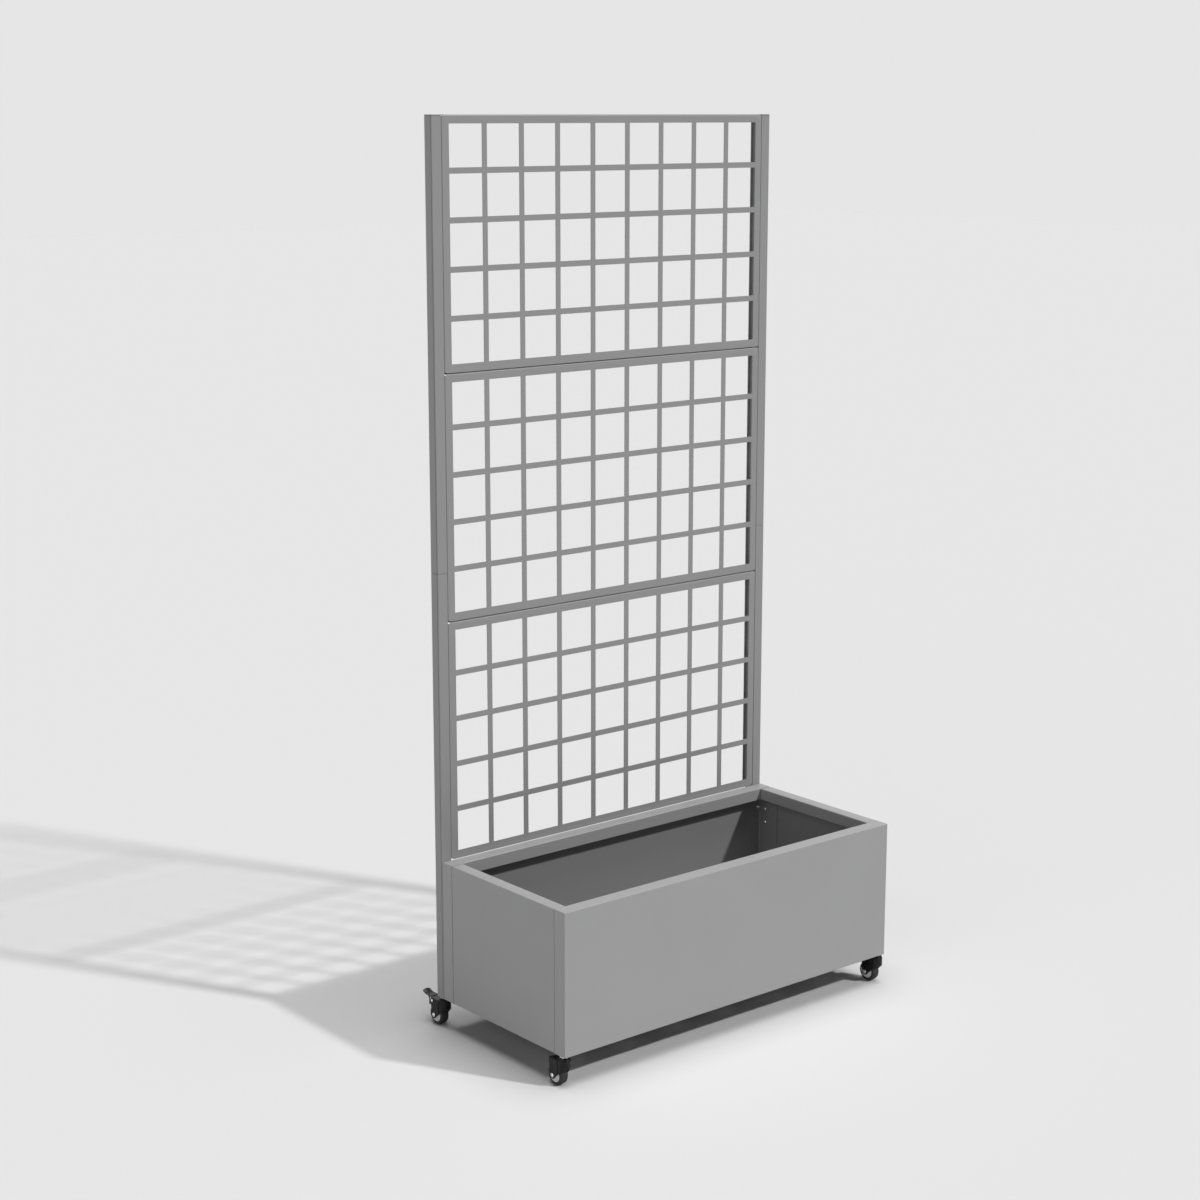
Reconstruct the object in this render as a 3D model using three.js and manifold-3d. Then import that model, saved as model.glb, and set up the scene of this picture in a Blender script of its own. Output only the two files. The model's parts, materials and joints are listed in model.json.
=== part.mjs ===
// Rolling planter: a folded sheet-metal box on four swivel casters, with a tall trellis of three
// perforated panels between two posts behind it. Millimetres, X along the width, +Y to the rear, +Z up,
// floor at z = 0.

import * as THREE from 'three';
import { mergeVertices } from 'three/addons/utils/BufferGeometryUtils.js';
import Module from 'manifold-3d';

const wasm = await Module();
wasm.setup();

// ---- Box ----
const BOX_WIDTH = 914;
const BOX_DEPTH = 408;
const BOX_HEIGHT = 304;
const BOX_SHEET = 1.5;
const FACE_FOLD_WIDTH = 32.5;
const SIDE_LIP_WIDTH = 29;
const LIP_DROP = 26;
const BOTTOM_FLANGE = 28;
const PANEL_SEAM = 1.2;

// ---- Corner angles inside the box ----
const ANGLE_SHEET = 1.5;
const ANGLE_LONG_LEG = 60;
const ANGLE_SHORT_LEG = 22;

// ---- Floor of the box ----
const FLOOR_SHEET = 1.5;
const FLOOR_SKIRT = 10;
const FLOOR_SIDE_GAP = 1;
const DRAIN_DIAMETER = 10;
const DRAIN_COLUMNS = 6;
const DRAIN_ROWS = 2;
const DRAIN_COLUMN_PITCH = 140;
const DRAIN_ROW_PITCH = 200;
const RAIL_HEIGHT = 14;
const RAIL_SHEET = 1.5;
const RAIL_CROWN = 26;
const RAIL_FOOT = 9;
const RAIL_SPACING = 280;

// ---- Trellis posts ----
const POST_WIDTH = 24;
const POST_DEPTH = 25;
const POST_WALL = 1.5;
const POST_CORNER_RADIUS = 2;
const POST_JOINT_GAP = 0.5;
const SLEEVE_LENGTH = 120;
const SLEEVE_WALL = 1.5;
const INSERT_CLEARANCE = 0.3;
const CAP_PLATE = 3;
const CAP_PLUG = 12;
const FOOT_INSERT_HEIGHT = 28;

// ---- Trellis panels ----
const TRELLIS_PANELS = 3;
const TRELLIS_PANEL_HEIGHT = 509.4;
const TRELLIS_SHEET = 1.5;
const TRELLIS_GAP = 1.2;
const TRELLIS_FOOT_GAP = 0.4;
const TRELLIS_SIDE_GAP = 0.4;
const TRELLIS_RAIL = 17.5;
const TRELLIS_BAR = 12;
const TRELLIS_COLUMNS = 9;
const TRELLIS_ROWS = 5;
const TRELLIS_FLANGE = 25;
const TRELLIS_RETURN = 8.5;
const RELIEF_WIDTH = 7;
const RELIEF_HEIGHT = 3;

// ---- Casters ----
const CASTER_HEIGHT = 67;
const FRONT_STEM_INSET_X = 10;
const FRONT_STEM_INSET_Y = 14.5;
const REAR_STEM_BEHIND_BOX = 15;
const CASTER_TRAIL = 20;
const STEM_DIAMETER = 8;
const STEM_CLEARANCE = 0.3;
const COLLAR_ACROSS_CORNERS = 19;
const COLLAR_HEIGHT = 3.5;
const STEM_CHAMFER = 1;
const REAR_STUD_LENGTH = 22;
const FRONT_STUD_LENGTH = 13;
const NUT_ACROSS_CORNERS = 15;
const NUT_HEIGHT = 6.5;
const PLATE_THICKNESS = 3;
const PLATE_LEG = 60;
const PLATE_TOE = 20;
const CUP_DIAMETER = 25;
const CUP_HEIGHT = 3.9;
const CUP_RIM_HEIGHT = 2;
const CUP_SHOULDER = 3.2;
const CUP_EDGE = 0.5;
const SEAT_GAP = 0.3;

const FORK_WIDTH = 30;
const FORK_SHEET = 2;
const FORK_TOP = 8;
const FORK_TAIL = 31;
const FORK_HOOD_DROP = 16;
const FORK_LEG_DROP = 27;
const FORK_TAIL_DROP = 13;
const AXLE_BOSS_RADIUS = 7.5;
const AXLE_DIAMETER = 6;
const AXLE_CLEARANCE = 0.2;
const RIVET_RIM_SHARE = 0.4;
const RIVET_CROWN_SHARE = 0.6;
const RIVET_HEAD_RADIUS = 4.5;
const RIVET_HEAD_HEIGHT = 2.2;
const STEM_HEAD_RADIUS = 6.5;
const STEM_HEAD_HEIGHT = 2.5;

const WHEEL_DIAMETER = 45;
const TYRE_WIDTH = 20;
const TYRE_SHOULDER = 4.5;
const TYRE_CROWN = 0.6;
const TYRE_BEAD = 1;
const TREAD_FLAT = 3.6;
const RIM_DIAMETER = 31;
const RIM_WIDTH = 18.6;
const RIM_LIP = 2.2;
const HUB_DIAMETER = 13;
const HUB_LENGTH = 25.2;
const WEB_WIDTH = 11;
const HUB_TAPER = 0.8;
const RIM_TAPER = 1;

// ---- Brake pedals on the rear casters ----
const PEDAL_WIDTH = 19;
const PEDAL_SHEET = 2;
const PEDAL_PIN_Y = 26;
const PEDAL_PIN_DROP = 14.5;
const PEDAL_PIN_DIAMETER = 4;
const PEDAL_EAR_RADIUS = 3.4;
const PIN_HEAD_RADIUS = 3.3;
const PIN_HEAD_HEIGHT = 1.6;
const PEDAL_TRAVEL_DEG = 9;
const PEDAL_SADDLE_Y = 40;
const PEDAL_SADDLE_DROP = 9.6;
const PEDAL_SADDLE_LENGTH = 12;
const PEDAL_SHOE_Y = 44;
const PEDAL_TOE_Y = 68;
const PEDAL_TOE_DROP = 3;
const PEDAL_TOE_LENGTH = 10;
const PEDAL_TOE_FALL = 5.5;
const PEDAL_EAR_HEEL = 4;
const SHOE_LENGTH = 6;
const SHOE_FRONT_DROP = 8;
const SHOE_BACK_DROP = 12;

// ---- Smoothness of round forms ----
const WHEEL_SEGMENTS = 24;
const SHOE_SEGMENTS = 48;
const SMALL_SEGMENTS = 16;
const RIVET_SEGMENTS = 12;
const HEX_SEGMENTS = 6;
const HOOD_STEPS = 7;
const BOSS_STEPS = 5;
const TUBE_CORNER_STEPS = 1;
const DRAIN_STEPS = 6;
const SHOULDER_STEPS = 2;

// How far a cutting shape runs past the piece it cuts, and how near two corners have to be to be one.
const OVERRUN = 1;
const WELD = 1e-4;

// ---- Derived places ----
const HALF_WIDTH = BOX_WIDTH / 2;
const HALF_DEPTH = BOX_DEPTH / 2;
const BOX_BOTTOM = CASTER_HEIGHT;
const BOX_TOP = BOX_BOTTOM + BOX_HEIGHT;
const INNER_HALF_WIDTH = HALF_WIDTH - BOX_SHEET;
const INNER_HALF_DEPTH = HALF_DEPTH - BOX_SHEET;
const FLANGE_TOP = BOX_BOTTOM + BOX_SHEET;
const LIP_UNDERSIDE = BOX_TOP - BOX_SHEET;
const FLOOR_UNDERSIDE = FLANGE_TOP + SEAT_GAP + RAIL_HEIGHT + SEAT_GAP;
const FLOOR_TOP = FLOOR_UNDERSIDE + FLOOR_SHEET;
const PANEL_PITCH = TRELLIS_PANEL_HEIGHT + TRELLIS_GAP;
const TRELLIS_FACE = HALF_DEPTH + SEAT_GAP;
const TRELLIS_BOTTOM = BOX_TOP + TRELLIS_FOOT_GAP;
const TRELLIS_TOP = TRELLIS_BOTTOM + PANEL_PITCH * (TRELLIS_PANELS - 1) + TRELLIS_PANEL_HEIGHT;
const TRELLIS_WIDTH = BOX_WIDTH - 2 * (POST_WIDTH + TRELLIS_SIDE_GAP);
const POST_JOINT = (BOX_BOTTOM + TRELLIS_TOP) / 2;
const WHEEL_RADIUS = WHEEL_DIAMETER / 2;
// The faceted wheel stands on one of its flats.
const HALF_FACET = Math.PI / WHEEL_SEGMENTS;
const AXLE_DROP = CASTER_HEIGHT - WHEEL_RADIUS * Math.cos(HALF_FACET);
const FORK_HALF = FORK_WIDTH / 2;
const FORK_INNER_HALF = FORK_HALF - FORK_SHEET;
const STEM_HOLE_RADIUS = STEM_DIAMETER / 2 + STEM_CLEARANCE;
const THREAD_HOLE_RADIUS = STEM_DIAMETER / 2 + STEM_CLEARANCE / 2;
const AXLE_HOLE_RADIUS = AXLE_DIAMETER / 2 + AXLE_CLEARANCE;
const PIN_HOLE_RADIUS = PEDAL_PIN_DIAMETER / 2 + AXLE_CLEARANCE;

// ---- Materials ----
function coatedSteel() {
  return new THREE.MeshStandardMaterial({ color: 0x8f8f90, roughness: 0.55, metalness: 0.1 });
}

function blackSteel() {
  return new THREE.MeshStandardMaterial({ color: 0x1c1c1d, roughness: 0.45, metalness: 0.2 });
}

function zincSteel() {
  return new THREE.MeshStandardMaterial({ color: 0xc4c5c6, roughness: 0.35, metalness: 0.9 });
}

function wheelPlastic() {
  return new THREE.MeshStandardMaterial({ color: 0xd9d9da, roughness: 0.5, metalness: 0 });
}

function blackRubber() {
  return new THREE.MeshStandardMaterial({ color: 0x1a1a1a, roughness: 0.8, metalness: 0 });
}

function capPlastic() {
  return new THREE.MeshStandardMaterial({ color: 0x6f7070, roughness: 0.6, metalness: 0 });
}

// ---- Shaping helpers ----
function solid(geometry) {
  const bare = geometry.clone();
  bare.deleteAttribute('normal');
  bare.deleteAttribute('uv');
  const merged = mergeVertices(bare, WELD);
  return new wasm.Manifold(
    new wasm.Mesh({
      numProp: 3,
      vertProperties: new Float32Array(merged.attributes.position.array),
      triVerts: new Uint32Array(merged.index.array),
    }),
  );
}

function surface(manifold) {
  const mesh = manifold.getMesh();
  const geometry = new THREE.BufferGeometry();
  geometry.setAttribute('position', new THREE.BufferAttribute(new Float32Array(mesh.vertProperties), 3));
  geometry.setIndex(new THREE.BufferAttribute(new Uint32Array(mesh.triVerts), 1));
  geometry.computeVertexNormals();
  return geometry;
}

function union(manifolds) {
  return manifolds.reduce((whole, piece) => whole.add(piece));
}

function block(xRange, yRange, zRange) {
  const low = [xRange, yRange, zRange].map((range) => Math.min(...range));
  const high = [xRange, yRange, zRange].map((range) => Math.max(...range));
  const box = new THREE.BoxGeometry(high[0] - low[0], high[1] - low[1], high[2] - low[2]);
  box.translate((high[0] + low[0]) / 2, (high[1] + low[1]) / 2, (high[2] + low[2]) / 2);
  return solid(box);
}

// An outline in X and Y, drawn out along Z.
function extrudeUp(shape, bottom, top, curveSegments = TUBE_CORNER_STEPS) {
  const settings = { depth: top - bottom, bevelEnabled: false, curveSegments };
  return new THREE.ExtrudeGeometry(shape, settings).translate(0, 0, bottom);
}

// An outline in X and Z, drawn out along Y.
function extrudeBack(shape, front, back) {
  const settings = { depth: back - front, bevelEnabled: false };
  return new THREE.ExtrudeGeometry(shape, settings).rotateX(Math.PI / 2).translate(0, back, 0);
}

// An outline in Y and Z, drawn out along X.
function extrudeAcross(shape, left, right) {
  const settings = { depth: right - left, bevelEnabled: false, curveSegments: BOSS_STEPS };
  const turned = new THREE.ExtrudeGeometry(shape, settings).rotateX(Math.PI / 2).rotateZ(Math.PI / 2);
  return turned.translate(left, 0, 0);
}

function uprightRod(radius, bottom, top, segments = SMALL_SEGMENTS) {
  const rod = new THREE.CylinderGeometry(radius, radius, top - bottom, segments);
  return solid(rod.rotateX(Math.PI / 2).translate(0, 0, (top + bottom) / 2));
}

function crossRod(radius, halfLength, y, z, segments = SMALL_SEGMENTS) {
  const rod = new THREE.CylinderGeometry(radius, radius, 2 * halfLength, segments);
  return solid(rod.rotateZ(Math.PI / 2).translate(0, y, z));
}

// A profile of [radius, x] corners turned about the X axis.
function turnAcross(profile, segments = SMALL_SEGMENTS) {
  const corners = profile.map(([radius, x]) => new THREE.Vector2(radius, x));
  return new THREE.LatheGeometry(corners, segments).rotateZ(-Math.PI / 2);
}

// A profile of [radius, z] corners turned about the Z axis.
function turnUpright(profile, segments = SMALL_SEGMENTS) {
  const corners = profile.map(([radius, z]) => new THREE.Vector2(radius, z));
  return new THREE.LatheGeometry(corners, segments).rotateX(Math.PI / 2);
}

// Where on a circle a straight line from a point touches it, as an angle; side is 1 or -1.
function tangentAngle(point, centre, radius, side) {
  const toPoint = new THREE.Vector2(...point).sub(new THREE.Vector2(...centre));
  return Math.atan2(toPoint.y, toPoint.x) + side * Math.acos(radius / toPoint.length());
}

function polygon(corners) {
  return new THREE.Shape(corners.map(([a, b]) => new THREE.Vector2(a, b)));
}

// A rectangle about the origin, with round corners.
function roundedRectangle(width, depth, radius, Path = THREE.Shape) {
  const halfWidth = width / 2;
  const halfDepth = depth / 2;
  const path = new Path();
  path.moveTo(-halfWidth + radius, -halfDepth);
  path.lineTo(halfWidth - radius, -halfDepth);
  path.absarc(halfWidth - radius, -halfDepth + radius, radius, -Math.PI / 2, 0, false);
  path.lineTo(halfWidth, halfDepth - radius);
  path.absarc(halfWidth - radius, halfDepth - radius, radius, 0, Math.PI / 2, false);
  path.lineTo(-halfWidth + radius, halfDepth);
  path.absarc(-halfWidth + radius, halfDepth - radius, radius, Math.PI / 2, Math.PI, false);
  path.lineTo(-halfWidth, -halfDepth + radius);
  path.absarc(-halfWidth + radius, -halfDepth + radius, radius, Math.PI, 1.5 * Math.PI, false);
  return path;
}

// A band of even thickness along a line of corners, mitred at each bend.
function band(corners, thickness) {
  const points = corners.map(([a, b]) => new THREE.Vector2(a, b));
  const offset = (index, side) => {
    const here = points[index];
    const before = points[Math.max(index - 1, 0)];
    const after = points[Math.min(index + 1, points.length - 1)];
    const into = here.clone().sub(index > 0 ? before : here);
    const outOf = after.clone().sub(index < points.length - 1 ? here : after);
    const first = (into.length() > 0 ? into : outOf).clone().normalize();
    const second = (outOf.length() > 0 ? outOf : into).clone().normalize();
    const middle = first.clone().add(second).normalize();
    const stretch = 1 / middle.dot(first);
    const normal = new THREE.Vector2(-middle.y, middle.x);
    return here.clone().addScaledVector(normal, (side * thickness * stretch) / 2);
  };
  const left = points.map((point, index) => offset(index, 1));
  const right = points.map((point, index) => offset(index, -1));
  return new THREE.Shape([...right, ...left.reverse()]);
}

function part(name, geometry, material) {
  const mesh = new THREE.Mesh(geometry, material);
  mesh.name = name;
  return mesh;
}

// ---- Box panels ----

// The front panel: a tray with corner returns, a lip along the top that turns down inside, and a flange
// along the bottom. The back panel is the same tray turned about, without the stem holes.
function facePanel(withStemHoles) {
  const foldEdge = -HALF_DEPTH + FACE_FOLD_WIDTH;
  const flangeEdge = -HALF_DEPTH + BOTTOM_FLANGE;
  const fullHeight = [BOX_BOTTOM, BOX_TOP];
  const lipEnd = HALF_WIDTH - SIDE_LIP_WIDTH + BOX_SHEET;
  const pieces = [
    block([-HALF_WIDTH, HALF_WIDTH], [-HALF_DEPTH, -INNER_HALF_DEPTH], fullHeight),
    block([-HALF_WIDTH, -INNER_HALF_WIDTH], [-HALF_DEPTH, foldEdge], fullHeight),
    block([INNER_HALF_WIDTH, HALF_WIDTH], [-HALF_DEPTH, foldEdge], fullHeight),
    block([-HALF_WIDTH, HALF_WIDTH], [-HALF_DEPTH, foldEdge], [LIP_UNDERSIDE, BOX_TOP]),
    block([-lipEnd, lipEnd], [foldEdge - BOX_SHEET, foldEdge], [BOX_TOP - LIP_DROP, BOX_TOP]),
    block([-HALF_WIDTH, HALF_WIDTH], [-HALF_DEPTH, flangeEdge], [BOX_BOTTOM, FLANGE_TOP]),
  ];
  let panel = union(pieces);
  if (withStemHoles) {
    for (const side of [-1, 1]) {
      const hole = uprightRod(STEM_HOLE_RADIUS, BOX_BOTTOM - OVERRUN, FLANGE_TOP + OVERRUN);
      const stemX = side * (HALF_WIDTH - FRONT_STEM_INSET_X);
      panel = panel.subtract(hole.translate([stemX, -HALF_DEPTH + FRONT_STEM_INSET_Y, 0]));
    }
  }
  return surface(panel);
}

// The left side panel, flush between the two returns; the right one is the same turned about.
function sidePanel() {
  const wallHalf = HALF_DEPTH - FACE_FOLD_WIDTH - PANEL_SEAM;
  const lipEdge = -HALF_WIDTH + SIDE_LIP_WIDTH;
  const wallX = [-HALF_WIDTH, -INNER_HALF_WIDTH];
  const pieces = [
    block(wallX, [-wallHalf, wallHalf], [BOX_BOTTOM, BOX_TOP]),
    block([-HALF_WIDTH, lipEdge], [-wallHalf, wallHalf], [LIP_UNDERSIDE, BOX_TOP]),
    block([lipEdge - BOX_SHEET, lipEdge], [-wallHalf, wallHalf], [BOX_TOP - LIP_DROP, BOX_TOP]),
    block([-HALF_WIDTH, -HALF_WIDTH + BOTTOM_FLANGE], [-wallHalf, wallHalf], [BOX_BOTTOM, FLANGE_TOP]),
  ];
  return surface(union(pieces));
}

// A vertical angle in one corner: the long leg backs the seam between return and side panel.
function cornerAngle(side, end) {
  const outerX = side * (INNER_HALF_WIDTH - SEAT_GAP);
  const outerY = end * (INNER_HALF_DEPTH - SEAT_GAP);
  const heights = [FLOOR_TOP + SEAT_GAP, LIP_UNDERSIDE - SEAT_GAP];
  const longLeg = block(
    [outerX, outerX - side * ANGLE_SHEET],
    [outerY, outerY - end * ANGLE_LONG_LEG],
    heights,
  );
  const shortLeg = block(
    [outerX, outerX - side * ANGLE_SHORT_LEG],
    [outerY, outerY - end * ANGLE_SHEET],
    heights,
  );
  return surface(longLeg.add(shortLeg));
}

// The floor panel: a sheet with drain holes, its long edges turned down.
function floorPanel() {
  const halfWidth = INNER_HALF_WIDTH - FLOOR_SIDE_GAP;
  const halfDepth = INNER_HALF_DEPTH - FLOOR_SIDE_GAP;
  const outline = polygon([
    [-halfWidth, -halfDepth],
    [halfWidth, -halfDepth],
    [halfWidth, halfDepth],
    [-halfWidth, halfDepth],
  ]);
  for (let column = 0; column < DRAIN_COLUMNS; column += 1) {
    for (let row = 0; row < DRAIN_ROWS; row += 1) {
      const x = (column - (DRAIN_COLUMNS - 1) / 2) * DRAIN_COLUMN_PITCH;
      const y = (row - (DRAIN_ROWS - 1) / 2) * DRAIN_ROW_PITCH;
      const hole = new THREE.Path();
      hole.absarc(x, y, DRAIN_DIAMETER / 2, 0, 2 * Math.PI, true);
      outline.holes.push(hole);
    }
  }
  const sheet = solid(extrudeUp(outline, FLOOR_UNDERSIDE, FLOOR_TOP, DRAIN_STEPS));
  const skirtZ = [FLOOR_UNDERSIDE - FLOOR_SKIRT, FLOOR_TOP];
  const skirt = block([-halfWidth, halfWidth], [halfDepth - FLOOR_SHEET, halfDepth], skirtZ);
  return surface(union([sheet, skirt, skirt.mirror([0, 1, 0])]));
}

// A hat-section rail that runs from front to rear on the bottom flanges.
function floorRail() {
  const crown = RAIL_CROWN / 2;
  const foot = crown + RAIL_FOOT;
  const top = RAIL_HEIGHT;
  const profile = polygon([
    [-foot, 0],
    [-crown + RAIL_SHEET, 0],
    [-crown + RAIL_SHEET, top - RAIL_SHEET],
    [crown - RAIL_SHEET, top - RAIL_SHEET],
    [crown - RAIL_SHEET, 0],
    [foot, 0],
    [foot, RAIL_SHEET],
    [crown, RAIL_SHEET],
    [crown, top],
    [-crown, top],
    [-crown, RAIL_SHEET],
    [-foot, RAIL_SHEET],
  ]);
  const halfLength = INNER_HALF_DEPTH - FLOOR_SIDE_GAP - FLOOR_SHEET - SEAT_GAP;
  return extrudeBack(profile, -halfLength, halfLength);
}

// ---- Trellis ----

// A length of square tube, standing on z = bottom about its own centre.
function postTube(bottom, top) {
  const outline = roundedRectangle(POST_WIDTH, POST_DEPTH, POST_CORNER_RADIUS);
  const bore = roundedRectangle(
    POST_WIDTH - 2 * POST_WALL,
    POST_DEPTH - 2 * POST_WALL,
    POST_CORNER_RADIUS - POST_WALL,
    THREE.Path,
  );
  outline.holes.push(bore);
  return extrudeUp(outline, bottom, top);
}

function insertOutline() {
  const loss = 2 * (POST_WALL + INSERT_CLEARANCE);
  return roundedRectangle(POST_WIDTH - loss, POST_DEPTH - loss, POST_CORNER_RADIUS - POST_WALL);
}

function postSleeve() {
  const outline = insertOutline();
  const loss = 2 * (POST_WALL + INSERT_CLEARANCE + SLEEVE_WALL);
  outline.holes.push(
    roundedRectangle(POST_WIDTH - loss, POST_DEPTH - loss, POST_CORNER_RADIUS - POST_WALL, THREE.Path),
  );
  return extrudeUp(outline, POST_JOINT - SLEEVE_LENGTH / 2, POST_JOINT + SLEEVE_LENGTH / 2);
}

function postCap() {
  const plate = extrudeUp(
    roundedRectangle(POST_WIDTH, POST_DEPTH, POST_CORNER_RADIUS),
    TRELLIS_TOP - CAP_PLATE,
    TRELLIS_TOP,
  );
  const plug = extrudeUp(insertOutline(), TRELLIS_TOP - CAP_PLATE - CAP_PLUG, TRELLIS_TOP - CAP_PLATE / 2);
  return surface(solid(plate).add(solid(plug)));
}

// The block in the foot of a post that takes the stud of a rear caster.
function postFoot(studY) {
  const insert = solid(extrudeUp(insertOutline(), BOX_BOTTOM, BOX_BOTTOM + FOOT_INSERT_HEIGHT));
  const boreTop = BOX_BOTTOM + FOOT_INSERT_HEIGHT + OVERRUN;
  const bore = uprightRod(THREAD_HOLE_RADIUS, BOX_BOTTOM - OVERRUN, boreTop);
  return surface(insert.subtract(bore.translate([0, studY, 0])));
}

// One perforated trellis panel, its foot at z = 0 and its face at y = 0: a sheet with rows of openings,
// all four edges folded back and the sides folded in once more.
function trellisPanel() {
  const half = TRELLIS_WIDTH / 2;
  const height = TRELLIS_PANEL_HEIGHT;
  const openingWidth = (TRELLIS_WIDTH - 2 * TRELLIS_RAIL + TRELLIS_BAR) / TRELLIS_COLUMNS - TRELLIS_BAR;
  const openingHeight = (height - 2 * TRELLIS_RAIL + TRELLIS_BAR) / TRELLIS_ROWS - TRELLIS_BAR;
  const face = polygon([
    [-half, RELIEF_HEIGHT],
    [-half + RELIEF_WIDTH, 0],
    [half - RELIEF_WIDTH, 0],
    [half, RELIEF_HEIGHT],
    [half, height - RELIEF_HEIGHT],
    [half - RELIEF_WIDTH, height],
    [-half + RELIEF_WIDTH, height],
    [-half, height - RELIEF_HEIGHT],
  ]);
  const throughSheet = [-OVERRUN, TRELLIS_SHEET + OVERRUN];
  const openings = [];
  for (let column = 0; column < TRELLIS_COLUMNS; column += 1) {
    for (let row = 0; row < TRELLIS_ROWS; row += 1) {
      const x = -half + TRELLIS_RAIL + column * (openingWidth + TRELLIS_BAR);
      const z = TRELLIS_RAIL + row * (openingHeight + TRELLIS_BAR);
      openings.push(block([x, x + openingWidth], throughSheet, [z, z + openingHeight]));
    }
  }
  const sheet = solid(extrudeBack(face, 0, TRELLIS_SHEET)).subtract(union(openings));
  const sideZ = [RELIEF_HEIGHT, height - RELIEF_HEIGHT];
  const endX = [-half + RELIEF_WIDTH, half - RELIEF_WIDTH];
  const lip = half - TRELLIS_RETURN;
  const folds = [
    block([-half, -half + TRELLIS_SHEET], [0, TRELLIS_FLANGE], sideZ),
    block([half - TRELLIS_SHEET, half], [0, TRELLIS_FLANGE], sideZ),
    block([-half, -lip], [TRELLIS_FLANGE - TRELLIS_SHEET, TRELLIS_FLANGE], sideZ),
    block([lip, half], [TRELLIS_FLANGE - TRELLIS_SHEET, TRELLIS_FLANGE], sideZ),
    block(endX, [0, TRELLIS_FLANGE - 2 * TRELLIS_SHEET], [0, TRELLIS_SHEET]),
    block(endX, [0, TRELLIS_FLANGE - 2 * TRELLIS_SHEET], [height - TRELLIS_SHEET, height]),
  ];
  return surface(union([sheet, ...folds]));
}

// ---- Casters: each is built about its stem axis, with z = 0 at the underside of the box ----

// The stem: threaded stud, hex collar, shank and the head riveted over below the fork.
function casterStem(studLength) {
  const shank = STEM_DIAMETER / 2;
  const crownUnderside = -FORK_TOP - FORK_SHEET;
  const headTop = crownUnderside - SEAT_GAP;
  const profile = [
    [0, headTop - STEM_HEAD_HEIGHT],
    [STEM_HEAD_RADIUS - STEM_CHAMFER, headTop - STEM_HEAD_HEIGHT],
    [STEM_HEAD_RADIUS, headTop - STEM_HEAD_HEIGHT + STEM_CHAMFER],
    [STEM_HEAD_RADIUS, headTop],
    [shank, headTop],
    [shank, studLength - STEM_CHAMFER],
    [shank - STEM_CHAMFER, studLength],
    [0, studLength],
  ];
  const collar = uprightRod(COLLAR_ACROSS_CORNERS / 2, -COLLAR_HEIGHT, -SEAT_GAP, HEX_SEGMENTS);
  return surface(solid(turnUpright(profile)).add(collar));
}

// The domed ball cup between collar and fork.
function swivelCup() {
  const top = -COLLAR_HEIGHT - SEAT_GAP;
  const bottom = top - CUP_HEIGHT;
  const rim = CUP_DIAMETER / 2;
  const profile = [
    [STEM_HOLE_RADIUS, bottom],
    [rim - CUP_EDGE, bottom],
    [rim, bottom + CUP_EDGE],
    [rim, bottom + CUP_RIM_HEIGHT],
    [rim - CUP_SHOULDER, top],
    [STEM_HOLE_RADIUS, top],
    [STEM_HOLE_RADIUS, bottom],
  ];
  return turnUpright(profile);
}

// The stamped fork: a round hood over the swivel that runs back into two legs, cut to taper to the axle.
function casterFork(withPinHole) {
  const shell = (half, tail, top) => {
    const plan = new THREE.Shape();
    plan.moveTo(half, tail);
    plan.lineTo(-half, tail);
    plan.lineTo(-half, 0);
    plan.absarc(0, 0, half, Math.PI, 2 * Math.PI, false);
    plan.lineTo(half, tail);
    return solid(extrudeUp(plan, -CASTER_HEIGHT, top, HOOD_STEPS));
  };
  const outer = shell(FORK_HALF, FORK_TAIL, -FORK_TOP);
  const inner = shell(FORK_INNER_HALF, FORK_TAIL + OVERRUN, -FORK_TOP - FORK_SHEET);
  const axle = [CASTER_TRAIL, -AXLE_DROP];
  const legFront = [0, -FORK_TOP - FORK_LEG_DROP];
  const legBack = [FORK_TAIL, -FORK_TOP - FORK_TAIL_DROP];
  const bossStart = tangentAngle(legFront, axle, AXLE_BOSS_RADIUS, 1);
  const bossEnd = tangentAngle(legBack, axle, AXLE_BOSS_RADIUS, -1);
  const side = new THREE.Shape();
  side.moveTo(-FORK_WIDTH, 0);
  side.lineTo(-FORK_WIDTH, -FORK_TOP - FORK_HOOD_DROP);
  side.lineTo(-FORK_HALF, -FORK_TOP - FORK_HOOD_DROP);
  side.lineTo(...legFront);
  side.absarc(...axle, AXLE_BOSS_RADIUS, bossStart, bossEnd, false);
  side.lineTo(...legBack);
  side.lineTo(FORK_TAIL + OVERRUN, 0);
  const cutter = solid(extrudeAcross(side, -FORK_WIDTH, FORK_WIDTH));
  let fork = outer.subtract(inner).intersect(cutter);
  fork = fork.subtract(uprightRod(STEM_HOLE_RADIUS, -CASTER_HEIGHT, 0));
  fork = fork.subtract(crossRod(AXLE_HOLE_RADIUS, FORK_WIDTH, ...axle));
  if (withPinHole) {
    fork = fork.subtract(crossRod(PIN_HOLE_RADIUS, FORK_WIDTH, PEDAL_PIN_Y, -PEDAL_PIN_DROP));
  }
  return surface(fork);
}

// A rivet across the fork, domed at both ends, centred on the origin.
function crossRivet(radius, headRadius, headHeight) {
  const seat = FORK_HALF + SEAT_GAP;
  const end = seat + headHeight;
  const half = [
    [radius, seat],
    [headRadius, seat],
    [headRadius, seat + headHeight * RIVET_RIM_SHARE],
    [headRadius * RIVET_CROWN_SHARE, end],
    [0, end],
  ];
  const left = half.map(([r, x]) => [r, -x]).reverse();
  return turnAcross([...left, ...half], RIVET_SEGMENTS);
}

// Half a profile, from the bore out, and its mirror image, joined in one closed loop.
function mirroredLoop(half) {
  const left = half.map(([radius, x]) => [radius, -x]);
  const right = [...half].reverse();
  return [...left, ...right, left[0]];
}

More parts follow.
